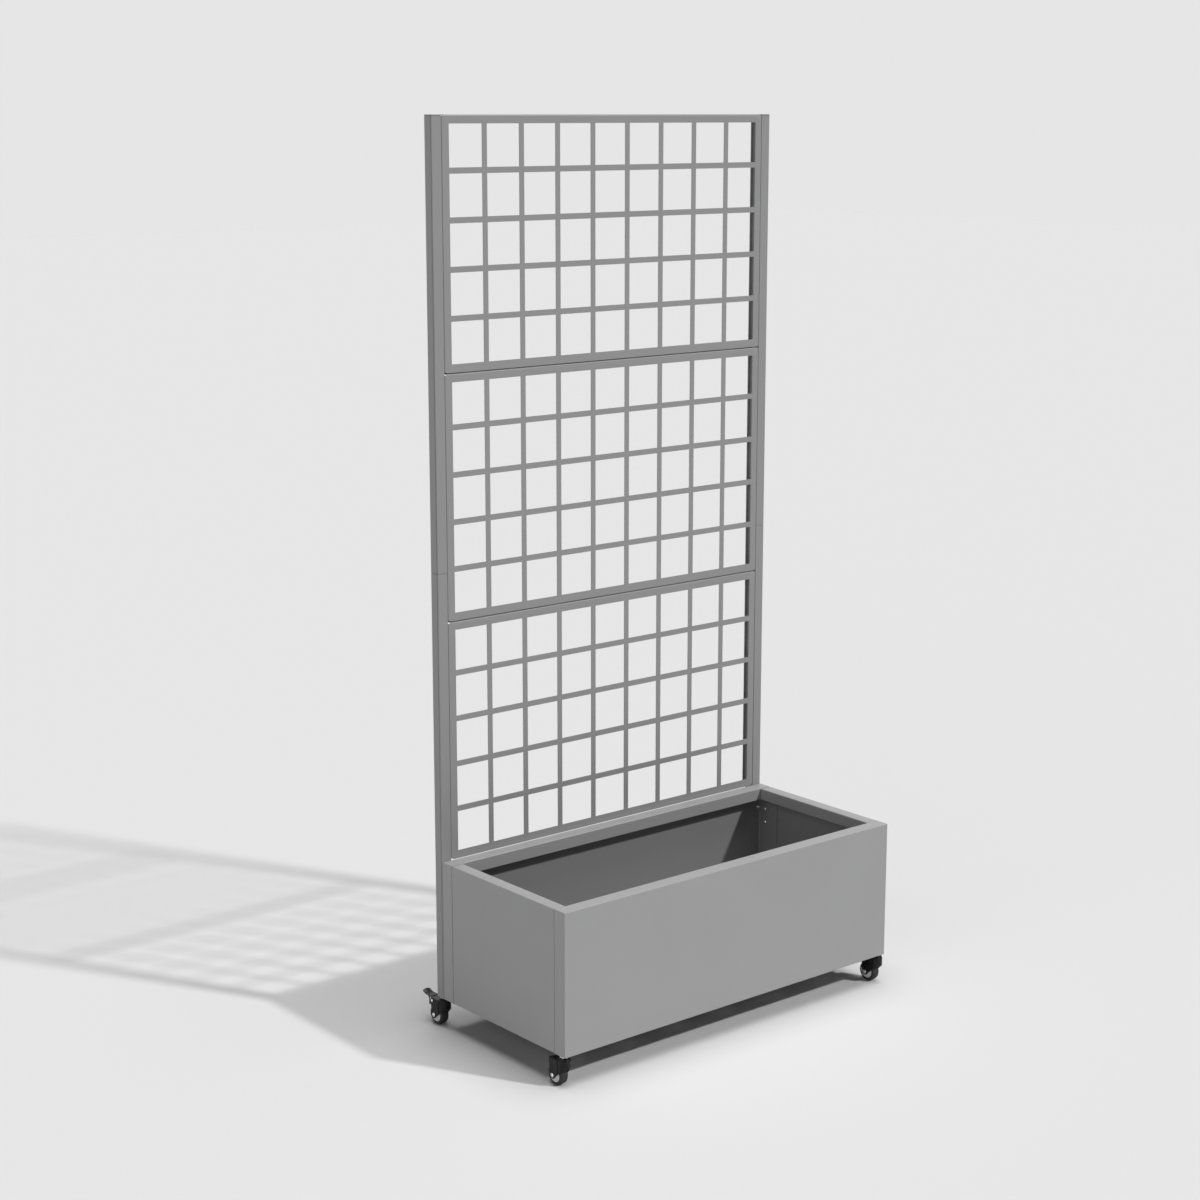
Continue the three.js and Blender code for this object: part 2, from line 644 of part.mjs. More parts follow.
// The wheel core: hub, recessed web and rim.
function wheelCore() {
  const rim = RIM_DIAMETER / 2;
  const hub = HUB_DIAMETER / 2;
  const half = [
    [AXLE_HOLE_RADIUS, HUB_LENGTH / 2],
    [hub - HUB_TAPER, HUB_LENGTH / 2],
    [hub, WEB_WIDTH / 2],
    [rim - RIM_LIP - RIM_TAPER, WEB_WIDTH / 2],
    [rim - RIM_LIP, RIM_WIDTH / 2],
    [rim, RIM_WIDTH / 2],
  ];
  return turnAcross(mirroredLoop(half), WHEEL_SEGMENTS);
}

// The tyre: flat sides, round shoulders and a slightly crowned tread.
function tyre() {
  const seat = RIM_DIAMETER / 2;
  const edge = TYRE_WIDTH / 2;
  const shoulderX = edge - TYRE_SHOULDER;
  const shoulderR = WHEEL_RADIUS - TYRE_CROWN - TYRE_SHOULDER;
  const half = [
    [seat, edge - TYRE_BEAD],
    [seat + TYRE_BEAD, edge],
  ];
  for (let step = 0; step <= SHOULDER_STEPS; step += 1) {
    const angle = (step / SHOULDER_STEPS) * (Math.PI / 2);
    half.push([shoulderR + TYRE_SHOULDER * Math.sin(angle), shoulderX + TYRE_SHOULDER * Math.cos(angle)]);
  }
  half.push([WHEEL_RADIUS, TREAD_FLAT / 2]);
  return turnAcross(mirroredLoop(half), WHEEL_SEGMENTS);
}

// The brake pedal, built about its pin: a level saddle with a raised toe, two ears to the pin, and a shoe
// that stops just clear of the tyre when the pedal is down.
function brakePedal() {
  const y = (value) => value - PEDAL_PIN_Y;
  const z = (drop) => PEDAL_PIN_DROP - drop;
  const saddleFront = [y(PEDAL_SADDLE_Y), z(PEDAL_SADDLE_DROP)];
  const saddle = [
    saddleFront,
    [y(PEDAL_SADDLE_Y + PEDAL_SADDLE_LENGTH), z(PEDAL_SADDLE_DROP)],
    [y(PEDAL_TOE_Y - PEDAL_TOE_LENGTH), z(PEDAL_TOE_DROP + PEDAL_TOE_FALL)],
    [y(PEDAL_TOE_Y), z(PEDAL_TOE_DROP)],
  ];
  const halfWidth = PEDAL_WIDTH / 2;
  const plate = solid(extrudeAcross(band(saddle, PEDAL_SHEET), -halfWidth, halfWidth));
  const earOutline = new THREE.Shape();
  earOutline.moveTo(0, PEDAL_EAR_RADIUS);
  earOutline.absarc(0, 0, PEDAL_EAR_RADIUS, Math.PI / 2, 1.5 * Math.PI, false);
  earOutline.lineTo(y(PEDAL_SHOE_Y), -PEDAL_EAR_RADIUS);
  earOutline.lineTo(y(PEDAL_SHOE_Y + PEDAL_EAR_HEEL), z(PEDAL_SADDLE_DROP));
  earOutline.lineTo(...saddleFront);
  const ear = solid(extrudeAcross(earOutline, halfWidth - PEDAL_SHEET, halfWidth));
  const pressed = THREE.MathUtils.degToRad(PEDAL_TRAVEL_DEG);
  const wheel = new THREE.Vector2(CASTER_TRAIL - PEDAL_PIN_Y, PEDAL_PIN_DROP - AXLE_DROP);
  const wheelSeenPressed = wheel.clone().rotateAround(new THREE.Vector2(0, 0), pressed);
  const shoeBack = y(PEDAL_SHOE_Y);
  const shoeOutline = polygon([
    [shoeBack - SHOE_LENGTH, -PEDAL_EAR_RADIUS - SHOE_FRONT_DROP],
    [shoeBack, -PEDAL_EAR_RADIUS - SHOE_BACK_DROP],
    [shoeBack, z(PEDAL_SADDLE_DROP)],
    [shoeBack - SHOE_LENGTH, z(PEDAL_SADDLE_DROP)],
  ]);
  const clearOfTyre = crossRod(
    WHEEL_RADIUS + SEAT_GAP,
    FORK_WIDTH,
    wheelSeenPressed.x,
    wheelSeenPressed.y,
    SHOE_SEGMENTS,
  );
  const shoe = solid(extrudeAcross(shoeOutline, -halfWidth, halfWidth)).subtract(clearOfTyre);
  const pinHole = crossRod(PIN_HOLE_RADIUS, FORK_WIDTH, 0, 0);
  return surface(union([plate, ear, ear.mirror([1, 0, 0]), shoe]).subtract(pinHole));
}

// The nut on the stud of a front caster, seated on the reinforcement plate.
function stemNut() {
  const bottom = BOX_SHEET + SEAT_GAP + PLATE_THICKNESS + SEAT_GAP;
  const body = uprightRod(NUT_ACROSS_CORNERS / 2, bottom, bottom + NUT_HEIGHT, HEX_SEGMENTS);
  return surface(body.subtract(uprightRod(THREAD_HOLE_RADIUS, 0, BOX_HEIGHT)));
}

// The reinforcement plate over a front caster, for the left corner at side = -1.
function casterPlate(side) {
  const x = (inset) => side * (INNER_HALF_WIDTH - SEAT_GAP - inset);
  const y = (inset) => -INNER_HALF_DEPTH + SEAT_GAP + inset;
  const corners = [
    [x(0), y(0)],
    [x(PLATE_LEG), y(0)],
    [x(PLATE_LEG), y(PLATE_TOE)],
    [x(PLATE_TOE), y(PLATE_LEG)],
    [x(0), y(PLATE_LEG)],
  ];
  const bottom = FLANGE_TOP + SEAT_GAP;
  const plate = solid(extrudeUp(polygon(corners), bottom, bottom + PLATE_THICKNESS));
  const hole = uprightRod(STEM_HOLE_RADIUS, BOX_BOTTOM, FLOOR_UNDERSIDE);
  const stemX = side * (HALF_WIDTH - FRONT_STEM_INSET_X);
  return surface(plate.subtract(hole.translate([stemX, -HALF_DEPTH + FRONT_STEM_INSET_Y, 0])));
}

function caster(prefix, place) {
  const group = new THREE.Group();
  group.position.set(place.x, place.y, CASTER_HEIGHT);
  const studLength = place.braked ? REAR_STUD_LENGTH : FRONT_STUD_LENGTH;
  group.add(part(`${prefix}_stem`, casterStem(studLength), zincSteel()));
  group.add(part(`${prefix}_swivel_cup`, swivelCup(), zincSteel()));
  group.add(part(`${prefix}_fork`, casterFork(place.braked), blackSteel()));
  const axleGroup = new THREE.Group();
  axleGroup.position.set(0, CASTER_TRAIL, -AXLE_DROP);
  const rivet = crossRivet(AXLE_DIAMETER / 2, RIVET_HEAD_RADIUS, RIVET_HEAD_HEIGHT);
  axleGroup.add(part(`${prefix}_axle`, rivet, zincSteel()));
  const wheelGroup = new THREE.Group();
  wheelGroup.rotation.x = HALF_FACET;
  wheelGroup.add(part(`${prefix}_wheel_core`, wheelCore(), wheelPlastic()));
  wheelGroup.add(part(`${prefix}_tyre`, tyre(), blackRubber()));
  axleGroup.add(wheelGroup);
  group.add(axleGroup);
  if (place.braked) {
    const pinGroup = new THREE.Group();
    pinGroup.position.set(0, PEDAL_PIN_Y, -PEDAL_PIN_DROP);
    const pin = crossRivet(PEDAL_PIN_DIAMETER / 2, PIN_HEAD_RADIUS, PIN_HEAD_HEIGHT);
    pinGroup.add(part(`${prefix}_brake_pin`, pin, zincSteel()));
    pinGroup.add(part(`${prefix}_brake_pedal`, brakePedal(), blackSteel()));
    group.add(pinGroup);
  } else {
    group.add(part(`${prefix}_nut`, stemNut(), zincSteel()));
  }
  return group;
}

// ---- Assembly ----
function buildBox() {
  const box = new THREE.Group();
  box.add(part('front_panel', facePanel(true), coatedSteel()));
  const back = part('back_panel', facePanel(false), coatedSteel());
  back.rotation.z = Math.PI;
  box.add(back);
  box.add(part('left_side_panel', sidePanel(), coatedSteel()));
  const right = part('right_side_panel', sidePanel(), coatedSteel());
  right.rotation.z = Math.PI;
  box.add(right);
  for (const [endName, end] of [['front', -1], ['rear', 1]]) {
    for (const [sideName, side] of [['left', -1], ['right', 1]]) {
      box.add(part(`corner_angle_${endName}_${sideName}`, cornerAngle(side, end), coatedSteel()));
    }
  }
  box.add(part('floor_panel', floorPanel(), coatedSteel()));
  for (const [name, index] of [['left', -1], ['middle', 0], ['right', 1]]) {
    const rail = part(`floor_rail_${name}`, floorRail(), coatedSteel());
    rail.position.set(index * RAIL_SPACING, 0, FLANGE_TOP + SEAT_GAP);
    box.add(rail);
  }
  return box;
}

function buildTrellis() {
  const trellis = new THREE.Group();
  const postY = TRELLIS_FACE + POST_DEPTH / 2;
  for (const [name, side] of [['left', -1], ['right', 1]]) {
    const post = new THREE.Group();
    post.position.set(side * (HALF_WIDTH - POST_WIDTH / 2), postY, 0);
    const lower = postTube(BOX_BOTTOM, POST_JOINT - POST_JOINT_GAP / 2);
    const upper = postTube(POST_JOINT + POST_JOINT_GAP / 2, TRELLIS_TOP - CAP_PLATE);
    post.add(part(`post_${name}_lower`, lower, coatedSteel()));
    post.add(part(`post_${name}_upper`, upper, coatedSteel()));
    post.add(part(`post_${name}_sleeve`, postSleeve(), coatedSteel()));
    post.add(part(`post_${name}_cap`, postCap(), capPlastic()));
    const studY = HALF_DEPTH + REAR_STEM_BEHIND_BOX - postY;
    post.add(part(`post_${name}_foot`, postFoot(studY), zincSteel()));
    trellis.add(post);
  }
  for (const [index, name] of ['bottom', 'middle', 'top'].entries()) {
    const panel = part(`trellis_panel_${name}`, trellisPanel(), coatedSteel());
    panel.position.set(0, TRELLIS_FACE, TRELLIS_BOTTOM + index * PANEL_PITCH);
    trellis.add(panel);
  }
  return trellis;
}

function buildCasters() {
  const casters = new THREE.Group();
  const frontX = HALF_WIDTH - FRONT_STEM_INSET_X;
  const frontY = -HALF_DEPTH + FRONT_STEM_INSET_Y;
  const rearX = HALF_WIDTH - POST_WIDTH / 2;
  const rearY = HALF_DEPTH + REAR_STEM_BEHIND_BOX;
  for (const [name, side] of [['left', -1], ['right', 1]]) {
    casters.add(part(`caster_plate_${name}`, casterPlate(side), coatedSteel()));
    casters.add(caster(`caster_front_${name}`, { x: side * frontX, y: frontY, braked: false }));
    casters.add(caster(`caster_rear_${name}`, { x: side * rearX, y: rearY, braked: true }));
  }
  return casters;
}

const planter = new THREE.Group();
planter.name = 'rolling_planter';
planter.add(buildBox(), buildTrellis(), buildCasters());
planter.updateMatrixWorld(true);

// The origin stands under the middle of the overall length in Y.
const overall = new THREE.Box3().setFromObject(planter, true);
planter.position.y = -(overall.min.y + overall.max.y) / 2;
planter.updateMatrixWorld(true);

export default planter;
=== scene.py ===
"""A rolling box planter of folded sheet steel, with a tall trellis and four casters, in metres."""

import json
import math
from typing import NamedTuple

import bmesh
import bpy
from bpy.props import FloatProperty, FloatVectorProperty, IntProperty, PointerProperty
from mathutils import Euler, Matrix, Vector


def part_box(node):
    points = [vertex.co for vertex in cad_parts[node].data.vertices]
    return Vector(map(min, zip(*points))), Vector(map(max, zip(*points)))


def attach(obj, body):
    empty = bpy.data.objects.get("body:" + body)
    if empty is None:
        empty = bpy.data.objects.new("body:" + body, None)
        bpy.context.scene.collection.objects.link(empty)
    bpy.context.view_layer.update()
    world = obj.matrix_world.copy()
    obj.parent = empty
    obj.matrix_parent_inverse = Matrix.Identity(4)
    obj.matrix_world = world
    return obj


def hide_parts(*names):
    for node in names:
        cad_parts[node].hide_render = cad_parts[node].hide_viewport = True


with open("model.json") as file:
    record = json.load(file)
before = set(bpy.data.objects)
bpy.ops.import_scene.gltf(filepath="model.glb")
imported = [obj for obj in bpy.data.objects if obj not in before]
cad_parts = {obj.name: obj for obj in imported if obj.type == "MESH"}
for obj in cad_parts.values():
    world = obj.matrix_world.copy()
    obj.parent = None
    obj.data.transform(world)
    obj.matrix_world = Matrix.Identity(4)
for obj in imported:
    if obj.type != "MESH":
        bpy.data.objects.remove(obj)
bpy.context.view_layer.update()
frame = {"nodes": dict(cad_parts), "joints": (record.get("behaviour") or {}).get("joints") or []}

bl_info = {
    "name": "Rolling planter",
    "version": (1, 0, 0),
    "blender": (4, 5, 0),
    "location": "3D View > Sidebar > Planter",
    "description": "Makes the sheet metal, trellis, screws and casters of a rolling planter",
    "category": "Object",
}

ROOT = "planter"
SIDES = (("left", -1), ("right", 1))
ENDS = (("front", -1), ("rear", 1))
PANELS = ("bottom", "middle", "top")
CASTERS = ("front_left", "front_right", "rear_left", "rear_right")
BRAKED = CASTERS[2:]
X_AXIS = Vector((1, 0, 0))
Y_AXIS = Vector((0, 1, 0))
Z_AXIS = Vector((0, 0, 1))


# ---- Settings that a user may change ----


def length(name, description, default):
    """A length in metres that the sidebar shows with its unit."""
    return FloatProperty(
        name=name, description=description, default=default, min=0.0, precision=5,
        unit="LENGTH", subtype="DISTANCE",
    )


def angle(name, description, degrees):
    """An angle that the sidebar shows in degrees."""
    return FloatProperty(
        name=name, description=description, default=math.radians(degrees), unit="ROTATION", subtype="ANGLE"
    )


def share(name, description, default):
    """A plain number from 0 to 1."""
    return FloatProperty(
        name=name, description=description, default=default, min=0.0, max=1.0, subtype="FACTOR"
    )


def colour(name, description, default):
    """A linear colour."""
    return FloatVectorProperty(
        name=name, description=description, default=default, size=3, min=0.0, max=1.0, subtype="COLOR"
    )


def strength(name, description, default):
    """How bright a lamp or the sky is."""
    return FloatProperty(name=name, description=description, default=default, min=0.0)


def direction(name, description, default):
    """Where a light comes from."""
    return FloatVectorProperty(
        name=name, description=description, default=default, size=3, subtype="DIRECTION"
    )


def count(name, description, default, least=1):
    """How many of something there are."""
    return IntProperty(name=name, description=description, default=default, min=least)


class SheetSettings(bpy.types.PropertyGroup):
    """Sizes of the folded box, its floor and its corner angles."""

    wall: length("Sheet", "Thickness of the folded steel", 0.0015)
    bend: length("Bend radius", "Outer radius of the folds of the box", 0.0025)
    edge: length("Cut edge", "How far the coat rounds a cut edge", 0.0004)
    rim_bend: length("Rim bend", "Outer radius of the fold between a wall and its rim", 0.0013)
    lip_drop: length("Lip drop", "Depth of the fold that turns down inside the rim", 0.026)
    flange: length("Bottom flange", "Width of the flange under the box", 0.028)
    side_lip: length("Side lip", "Width of the rim on the two ends", 0.029)
    angle_long: length("Angle, long leg", "Leg of a corner angle that lies on an end wall", 0.060)
    angle_short: length("Angle, short leg", "Leg of a corner angle that lies on a long wall", 0.022)
    angle_bend: length("Angle bend", "Outer radius of the fold of a corner angle", 0.0045)
    drain_radius: length("Drain radius", "Radius of a drain hole in the floor", 0.005)
    drain_pitch_x: length("Drain pitch, width", "Distance of the drain holes along the box", 0.140)
    drain_pitch_y: length("Drain pitch, depth", "Distance of the two rows of drain holes", 0.200)
    drain_columns: count("Drain columns", "Drain holes in a row", 6, 0)
    drain_rows: count("Drain rows", "Rows of drain holes", 2, 0)


class TrellisSettings(bpy.types.PropertyGroup):
    """Sizes of the trellis panels and their posts."""

    side_bend: length("Side bend", "Outer radius of the folds at the sides of a panel", 0.0018)
    top_bend: length("Top bend", "Outer radius of the fold at the top of a panel", 0.003)
    foot_bend: length("Foot bend", "Outer radius of the fold at the foot of a panel", 0.0012)
    rail: length("Rail", "Width of the plain rail round a panel", 0.0175)
    bar: length("Bar", "Width of the bars between the openings", 0.012)
    columns: count("Columns", "Openings across a panel", 9)
    rows: count("Rows", "Openings up a panel", 5)
    flange: length("Side flange", "Depth of the folds at the sides of a panel", 0.025)
    end_flange: length("End flange", "Depth of the folds at the top and foot of a panel", 0.022)
    hem: length("Return", "Width of the second fold of a side flange", 0.0085)
    relief_width: length("Relief width", "Width of the corner relief between two folds", 0.007)
    relief_height: length("Relief height", "Height of the corner relief between two folds", 0.003)
    post_radius: length("Post corner", "Outer corner radius of a post tube", 0.0016)
    post_edge: length("Post end", "How far the cut end of a post tube is eased", 0.0006)
    seam_place: length("Post seam place", "From the front of a post to the seam that closes it", 0.0036)
    seam_gap: length("Post seam", "Width of the seam that closes a post", 0.0011)


class ScrewSettings(bpy.types.PropertyGroup):
    """Sizes and places of the screws."""

    head_radius: length("Head radius", "Radius of a screw head", 0.0045)
    head_height: length("Head height", "Height of a screw head", 0.003)
    slot_length: length("Recess length", "Length of each slot of the cross recess", 0.0048)
    slot_width: length("Recess width", "Width of each slot of the cross recess", 0.0011)
    slot_depth: length("Recess depth", "Depth of the cross recess", 0.0014)
    panel_inset: length("Panel screw inset", "From a panel's end to its outer screws", 0.066)
    box_inset: length("Box screw inset", "From the end of the box to the screws in its side", 0.0225)
    box_high: length("Box screw, upper", "From the rim to the upper screw in the side", 0.0565)
    box_low: length("Box screw, lower", "From the rim to the lower screw in the side", 0.0887)
    wall_inset: length("Wall screw inset", "From the side of the box to a screw in a long wall", 0.0083)
    wall_drop: length("Wall screw drop", "From the rim to a screw in a long wall", 0.0547)


class CasterSettings(bpy.types.PropertyGroup):
    """Sizes of one caster, measured from its stem and the underside of the box."""

    fork_sheet: length("Fork sheet", "Thickness of the stamped fork", 0.002)
    hood_steps: count("Hood steps", "Steps of a full turn of the round hood", 48, 8)
    hood_inset: length("Hood inset", "How far the round hood stands back from the flat legs", 0.0014)
    leg_front: length("Leg front", "From the stem to the front edge of the flat legs", 0.005)
    leg_step: length("Leg step", "Length of the step between hood and legs", 0.0004)
    crown_radius: length("Crown radius", "Outer radius where the crown of the fork turns down", 0.0028)
    hood_drop: length("Hood drop", "Depth of the round hood below the crown", 0.016)
    leg_drop: length("Leg drop", "Depth of the leg below the crown, at the stem", 0.027)
    tail_drop: length("Tail drop", "Depth of the tail below the crown", 0.0105)
    boss_radius: length("Boss radius", "Radius of the leg round the axle", 0.0075)
    stem_radius: length("Stem radius", "Radius of the stem", 0.004)
    collar_radius: length("Collar radius", "Radius over the corners of the hex collar", 0.0095)
    head_radius: length("Stem head", "Radius of the riveted head of the stem", 0.0065)
    tyre_shoulder: length("Tyre shoulder", "Radius of the shoulder of the tyre", 0.0045)
    tyre_crown: length("Tyre crown", "How far the middle of the tread stands proud", 0.0006)
    rim_radius: length("Rim radius", "Radius where the tyre sits on the core", 0.0155)
    rim_lip: length("Rim lip", "Width of the rim of the core", 0.0016)
    hub_radius: length("Hub radius", "Radius of the hub of the core", 0.0065)
    web_width: length("Web width", "Thickness of the web of the core", 0.015)
    pedal_sheet: length("Pedal sheet", "Thickness of the stamped pedal", 0.002)
    saddle_place: length("Pedal saddle", "From the stem to the front of the level saddle", 0.036)
    saddle_length: length("Saddle length", "Length of the level saddle of a pedal", 0.017)
    saddle_drop: length("Saddle drop", "From the box to the middle of the saddle's sheet", 0.0096)
    toe_place: length("Pedal toe", "From the stem to the end of the toe", 0.0675)
    toe_drop: length("Toe drop", "From the box to the end of the toe", 0.003)
    toe_length: length("Toe length", "Length of the raised toe of a pedal", 0.010)
    toe_fall: length("Toe fall", "How far the toe rises over its length", 0.0055)
    toe_arch: length("Toe arch", "How far the sides of the toe hang below its middle", 0.0024)
    toe_corner: length("Toe corner", "Radius of the two corners of the toe", 0.0022)
    pedal_bend: length("Pedal bend", "How far the bends of a pedal are eased", 0.0012)
    shoe_rivet: length("Shoe rivet", "Radius of the rivet that holds the brake shoe", 0.0028)


class FinishSettings(bpy.types.PropertyGroup):
    """Colours of the finishes, in linear values."""

    box_coat: colour("Box coat", "Powder coat of the box", (0.32, 0.32, 0.321))
    # Painted shade: the inner coat is a darker grey than the box coat. It goes on the inside faces of the box to
    # stand in for the shade that falls there.
    inner_coat_painted_shade: colour("Inner coat", "Thinner coat on the inside of the box", (0.24, 0.24, 0.241))
    trellis_coat: colour("Trellis coat", "Powder coat of the trellis and posts", (0.270, 0.270, 0.272))
    black_steel: colour("Black steel", "Black coat of the forks and pedals", (0.0075, 0.0075, 0.0078))
    zinc: colour("Zinc", "Bright zinc of studs, rivets and nuts", (0.72, 0.725, 0.73))
    core_plastic: colour("Wheel core", "Moulded plastic of the wheel cores", (0.78, 0.78, 0.79))
    rubber: colour("Tyre rubber", "Rubber of the tyres", (0.013, 0.013, 0.013))
    cap_plastic: colour("Cap plastic", "Moulded plastic of the post caps", (0.21, 0.21, 0.212))
    coat_roughness: share("Coat roughness", "Roughness of the powder coat", 0.4)


class StageSettings(bpy.types.PropertyGroup):
    """Floor, light and camera."""

    floor_size: length("Floor size", "Length of the sides of the floor", 60.0)
    floor_colour: colour("Floor colour", "Colour of the floor", (0.695, 0.695, 0.695))
    backdrop: colour("Backdrop", "Pale colour seen behind the object", (0.79, 0.79, 0.79))
    key_strength: strength("Key strength", "Strength of the key lamp", 1.8)
    key_spread: angle("Key spread", "Apparent size of the key lamp", 3.2)
    key_direction: direction("Key direction", "Where the key light comes from", (0.357, -0.668, 0.652))
    over_strength: strength("Overhead strength", "Strength of the soft lamp overhead", 2.1)
    over_spread: angle("Overhead spread", "Apparent size of the lamp overhead", 44.0)
    over_direction: direction("Overhead direction", "Where the soft light comes from", (0.05, -0.06, 0.99))
    fill_strength: strength("Fill strength", "Strength of the fill lamp at the left", 0.6)
    fill_spread: angle("Fill spread", "Apparent size of the fill lamp", 60.0)
    fill_direction: direction("Fill direction", "Where the fill light comes from", (-0.9, -0.3, 0.3))
    sky_level: strength("Sky level", "Strength of the light from all round", 0.04)
    camera_place: FloatVectorProperty(
        name="Camera place", description="Where the camera stands", default=(-3.1447, -3.5987, 1.9063),
        size=3, subtype="TRANSLATION", unit="LENGTH",
    )
    camera_yaw: angle("Camera yaw", "Turn of the camera from +Y towards +X", 39.64)
    camera_pitch: angle("Camera pitch", "How far the camera looks down", 11.93)
    camera_lens: FloatProperty(
        name="Lens", description="Focal length of the camera", default=69.26, min=1.0,
        subtype="DISTANCE_CAMERA",
    )


# ---- Finishes ----

NOISE_RANGE = (0.3, 0.7)  # Most of a noise texture's values lie between these.


class Finish:
    """A node material that is wired step by step."""

    def __init__(self, name, base, roughness, metal=0.0, specular=0.5):
        self.material = bpy.data.materials.new(name)
        self.material.use_nodes = True
        self.nodes = self.material.node_tree.nodes
        self.links = self.material.node_tree.links
        self.inputs = self.nodes["Principled BSDF"].inputs
        self.inputs["Base Color"].default_value = (*base, 1.0)
        self.inputs["Roughness"].default_value = roughness
        self.inputs["Metallic"].default_value = metal
        self.inputs["Specular IOR Level"].default_value = specular
        self.place = self.nodes.new("ShaderNodeTexCoord").outputs["Object"]

    def node(self, sort, **values):
        """A new node with some of its inputs set; an underscore stands for a space."""
        node = self.nodes.new(f"ShaderNode{sort}")
        for name, value in values.items():
            node.inputs[name.replace("_", " ")].default_value = value
        return node

    def noise(self, scale, detail=2.0, stretch=1.0):
        """Cloudy noise with that many features to the metre, and a multiple of that upwards."""
        place = self.place
        if stretch != 1.0:
            mapping = self.node("Mapping", Scale=(1.0, 1.0, stretch))
            self.links.new(place, mapping.inputs["Vector"])
            place = mapping.outputs["Vector"]
        texture = self.node("TexNoise", Scale=scale, Detail=detail)
        self.links.new(place, texture.inputs["Vector"])
        return texture.outputs["Fac"]

    def cells(self, scale):
        """Flat cells of random grey, for the spangle of zinc."""
        texture = self.node("TexVoronoi", Scale=scale)
        self.links.new(self.place, texture.inputs["Vector"])
        grey = self.node("RGBToBW")
        self.links.new(texture.outputs["Color"], grey.inputs["Color"])
        return grey.outputs["Val"]

    def ranged(self, value, low, high):
        """The usual values of a noise, spread over low to high."""
        start, end = NOISE_RANGE
        ranged = self.node("MapRange", From_Min=start, From_Max=end, To_Min=low, To_Max=high)
        self.links.new(value, ranged.inputs["Value"])
        return ranged.outputs["Result"]

    def vary_colour(self, value, dark, light):
        """Base colour between two shades of itself, led by a noise."""
        colour = self.inputs["Base Color"]
        mix = self.nodes.new("ShaderNodeMix")
        mix.data_type = "RGBA"
        for end, shade in (("A", dark), ("B", light)):
            mix.inputs[end].default_value = (*[shade * part for part in colour.default_value[:3]], 1.0)
        self.links.new(self.ranged(value, 0.0, 1.0), mix.inputs["Factor"])
        self.links.new(mix.outputs["Result"], colour)

    def vary_roughness(self, value, low, high):
        """Roughness between two levels, led by a noise."""
        self.links.new(self.ranged(value, low, high), self.inputs["Roughness"])

    def bump(self, value, depth, weight):
        """Relief of that depth in metres, on top of any relief there is."""
        relief = self.node("Bump", Distance=depth, Strength=weight)
        self.links.new(value, relief.inputs["Height"])
        normal = self.inputs["Normal"]
        if normal.links:
            self.links.new(normal.links[0].from_socket, relief.inputs["Normal"])
        self.links.new(relief.outputs["Normal"], normal)


class Look(NamedTuple):
    """What a finish is made of, and how it varies over a surface."""

    slot: str
    colour: str  # The setting that holds it.
    roughness: float  # Of a coat: on top of the coat's setting.
    shade: tuple  # Features to the metre, detail (none: flat cells), darkest and lightest part.
    gloss: tuple  # Features to the metre, and how far roughness goes below and above.
    reliefs: tuple  # Each: features to the metre, detail, depth in metres and weight.
    metal: float = 0.0
    specular: float = 0.5
    stretch: float = 1.0  # Of the relief, upwards.


# A faint cloud of shade under the fine orange peel of a powder coat.
POWDER = (
    (5.0, 3.0, 0.985, 1.015),
    (400.0, 0.03, 0.03),
    ((700.0, 1.0, 0.00003, 0.3), (1700.0, 2.0, 0.00002, 0.4)),
)
LOOKS = {
    "box_coat": Look("coated_steel", "box_coat", 0.0, *POWDER),
    # Painted shade: the darker inner coat stands in for the shade inside the box.
    "inner_coat_painted_shade": Look("coated_steel", "inner_coat_painted_shade", 0.2, *POWDER),
    "trellis_coat": Look("coated_steel", "trellis_coat", 0.0, *POWDER),
    "black_coat": Look(
        "black_steel", "black_steel", 0.28, (180.0, 2.0, 0.75, 1.5), (500.0, 0.08, 0.08),
        ((1500.0, 2.0, 0.00003, 0.35),), specular=0.22,
    ),
    "zinc_plate": Look(
        "zinc_steel", "zinc", 0.3, (420.0, 0.0, 0.8, 1.1), (300.0, 0.08, 0.1),
        ((900.0, 2.0, 0.00002, 0.3),), metal=1.0, stretch=4.0,
    ),
    "wheel_core_plastic": Look(
        "wheel_plastic", "core_plastic", 0.5, (120.0, 3.0, 0.93, 1.04), (260.0, 0.08, 0.08),
        ((2600.0, 2.0, 0.00002, 0.4),),
    ),
    "tyre_rubber": Look(
        "black_rubber", "rubber", 0.72, (240.0, 4.0, 0.7, 1.9), (320.0, 0.1, 0.1),
        ((1900.0, 3.0, 0.00004, 0.5),),
    ),
    "cap_plastic": Look(
        "grey_plastic", "cap_plastic", 0.6, (200.0, 2.0, 0.94, 1.05), (400.0, 0.06, 0.06),
        ((1500.0, 2.0, 0.00003, 0.5),),
    ),
}


def finish(name):
    """The material of a look, made when it is first asked for."""
    if name in bpy.data.materials:
        return bpy.data.materials[name]
    settings = bpy.context.scene.planter_finish
    look = LOOKS[name]
    roughness = look.roughness + (settings.coat_roughness if look.slot == "coated_steel" else 0.0)
    made = Finish(name, getattr(settings, look.colour), roughness, look.metal, look.specular)
    scale, detail, dark, light = look.shade
    made.vary_colour(made.noise(scale, detail) if detail else made.cells(scale), dark, light)
    scale, below, above = look.gloss
    made.vary_roughness(made.noise(scale), roughness - below, roughness + above)
    for scale, detail, depth, weight in look.reliefs:
        made.bump(made.noise(scale, detail, look.stretch), depth, weight)
    return made.material


# ---- Shaping helpers ----

SAME = 1e-6  # Places in a mesh that are nearer than this count as one, in metres.
FINE = 1e-7  # The same for a cut and for the seam of a turned shape.
SHARP = math.radians(50)  # A fold turns by more than this.
CUT_ANGLE = math.radians(32)  # The coat rounds every edge that turns by more than this.
FLAT_ANGLE = math.radians(0.5)  # Faces of a CAD node that turn by less are one.
BEND_STEPS = 4
FACING = 0.9  # A face looks along an axis when that part of its normal is above this.


def same(first, second):
    """Whether two places along an axis are one."""
    return abs(first - second) < SAME


def on_level(edge, axis, level):
    """Whether both ends of an edge lie at one place along an axis, which is 0, 1 or 2."""
    return all(same(vert.co[axis], level) for vert in edge.verts)


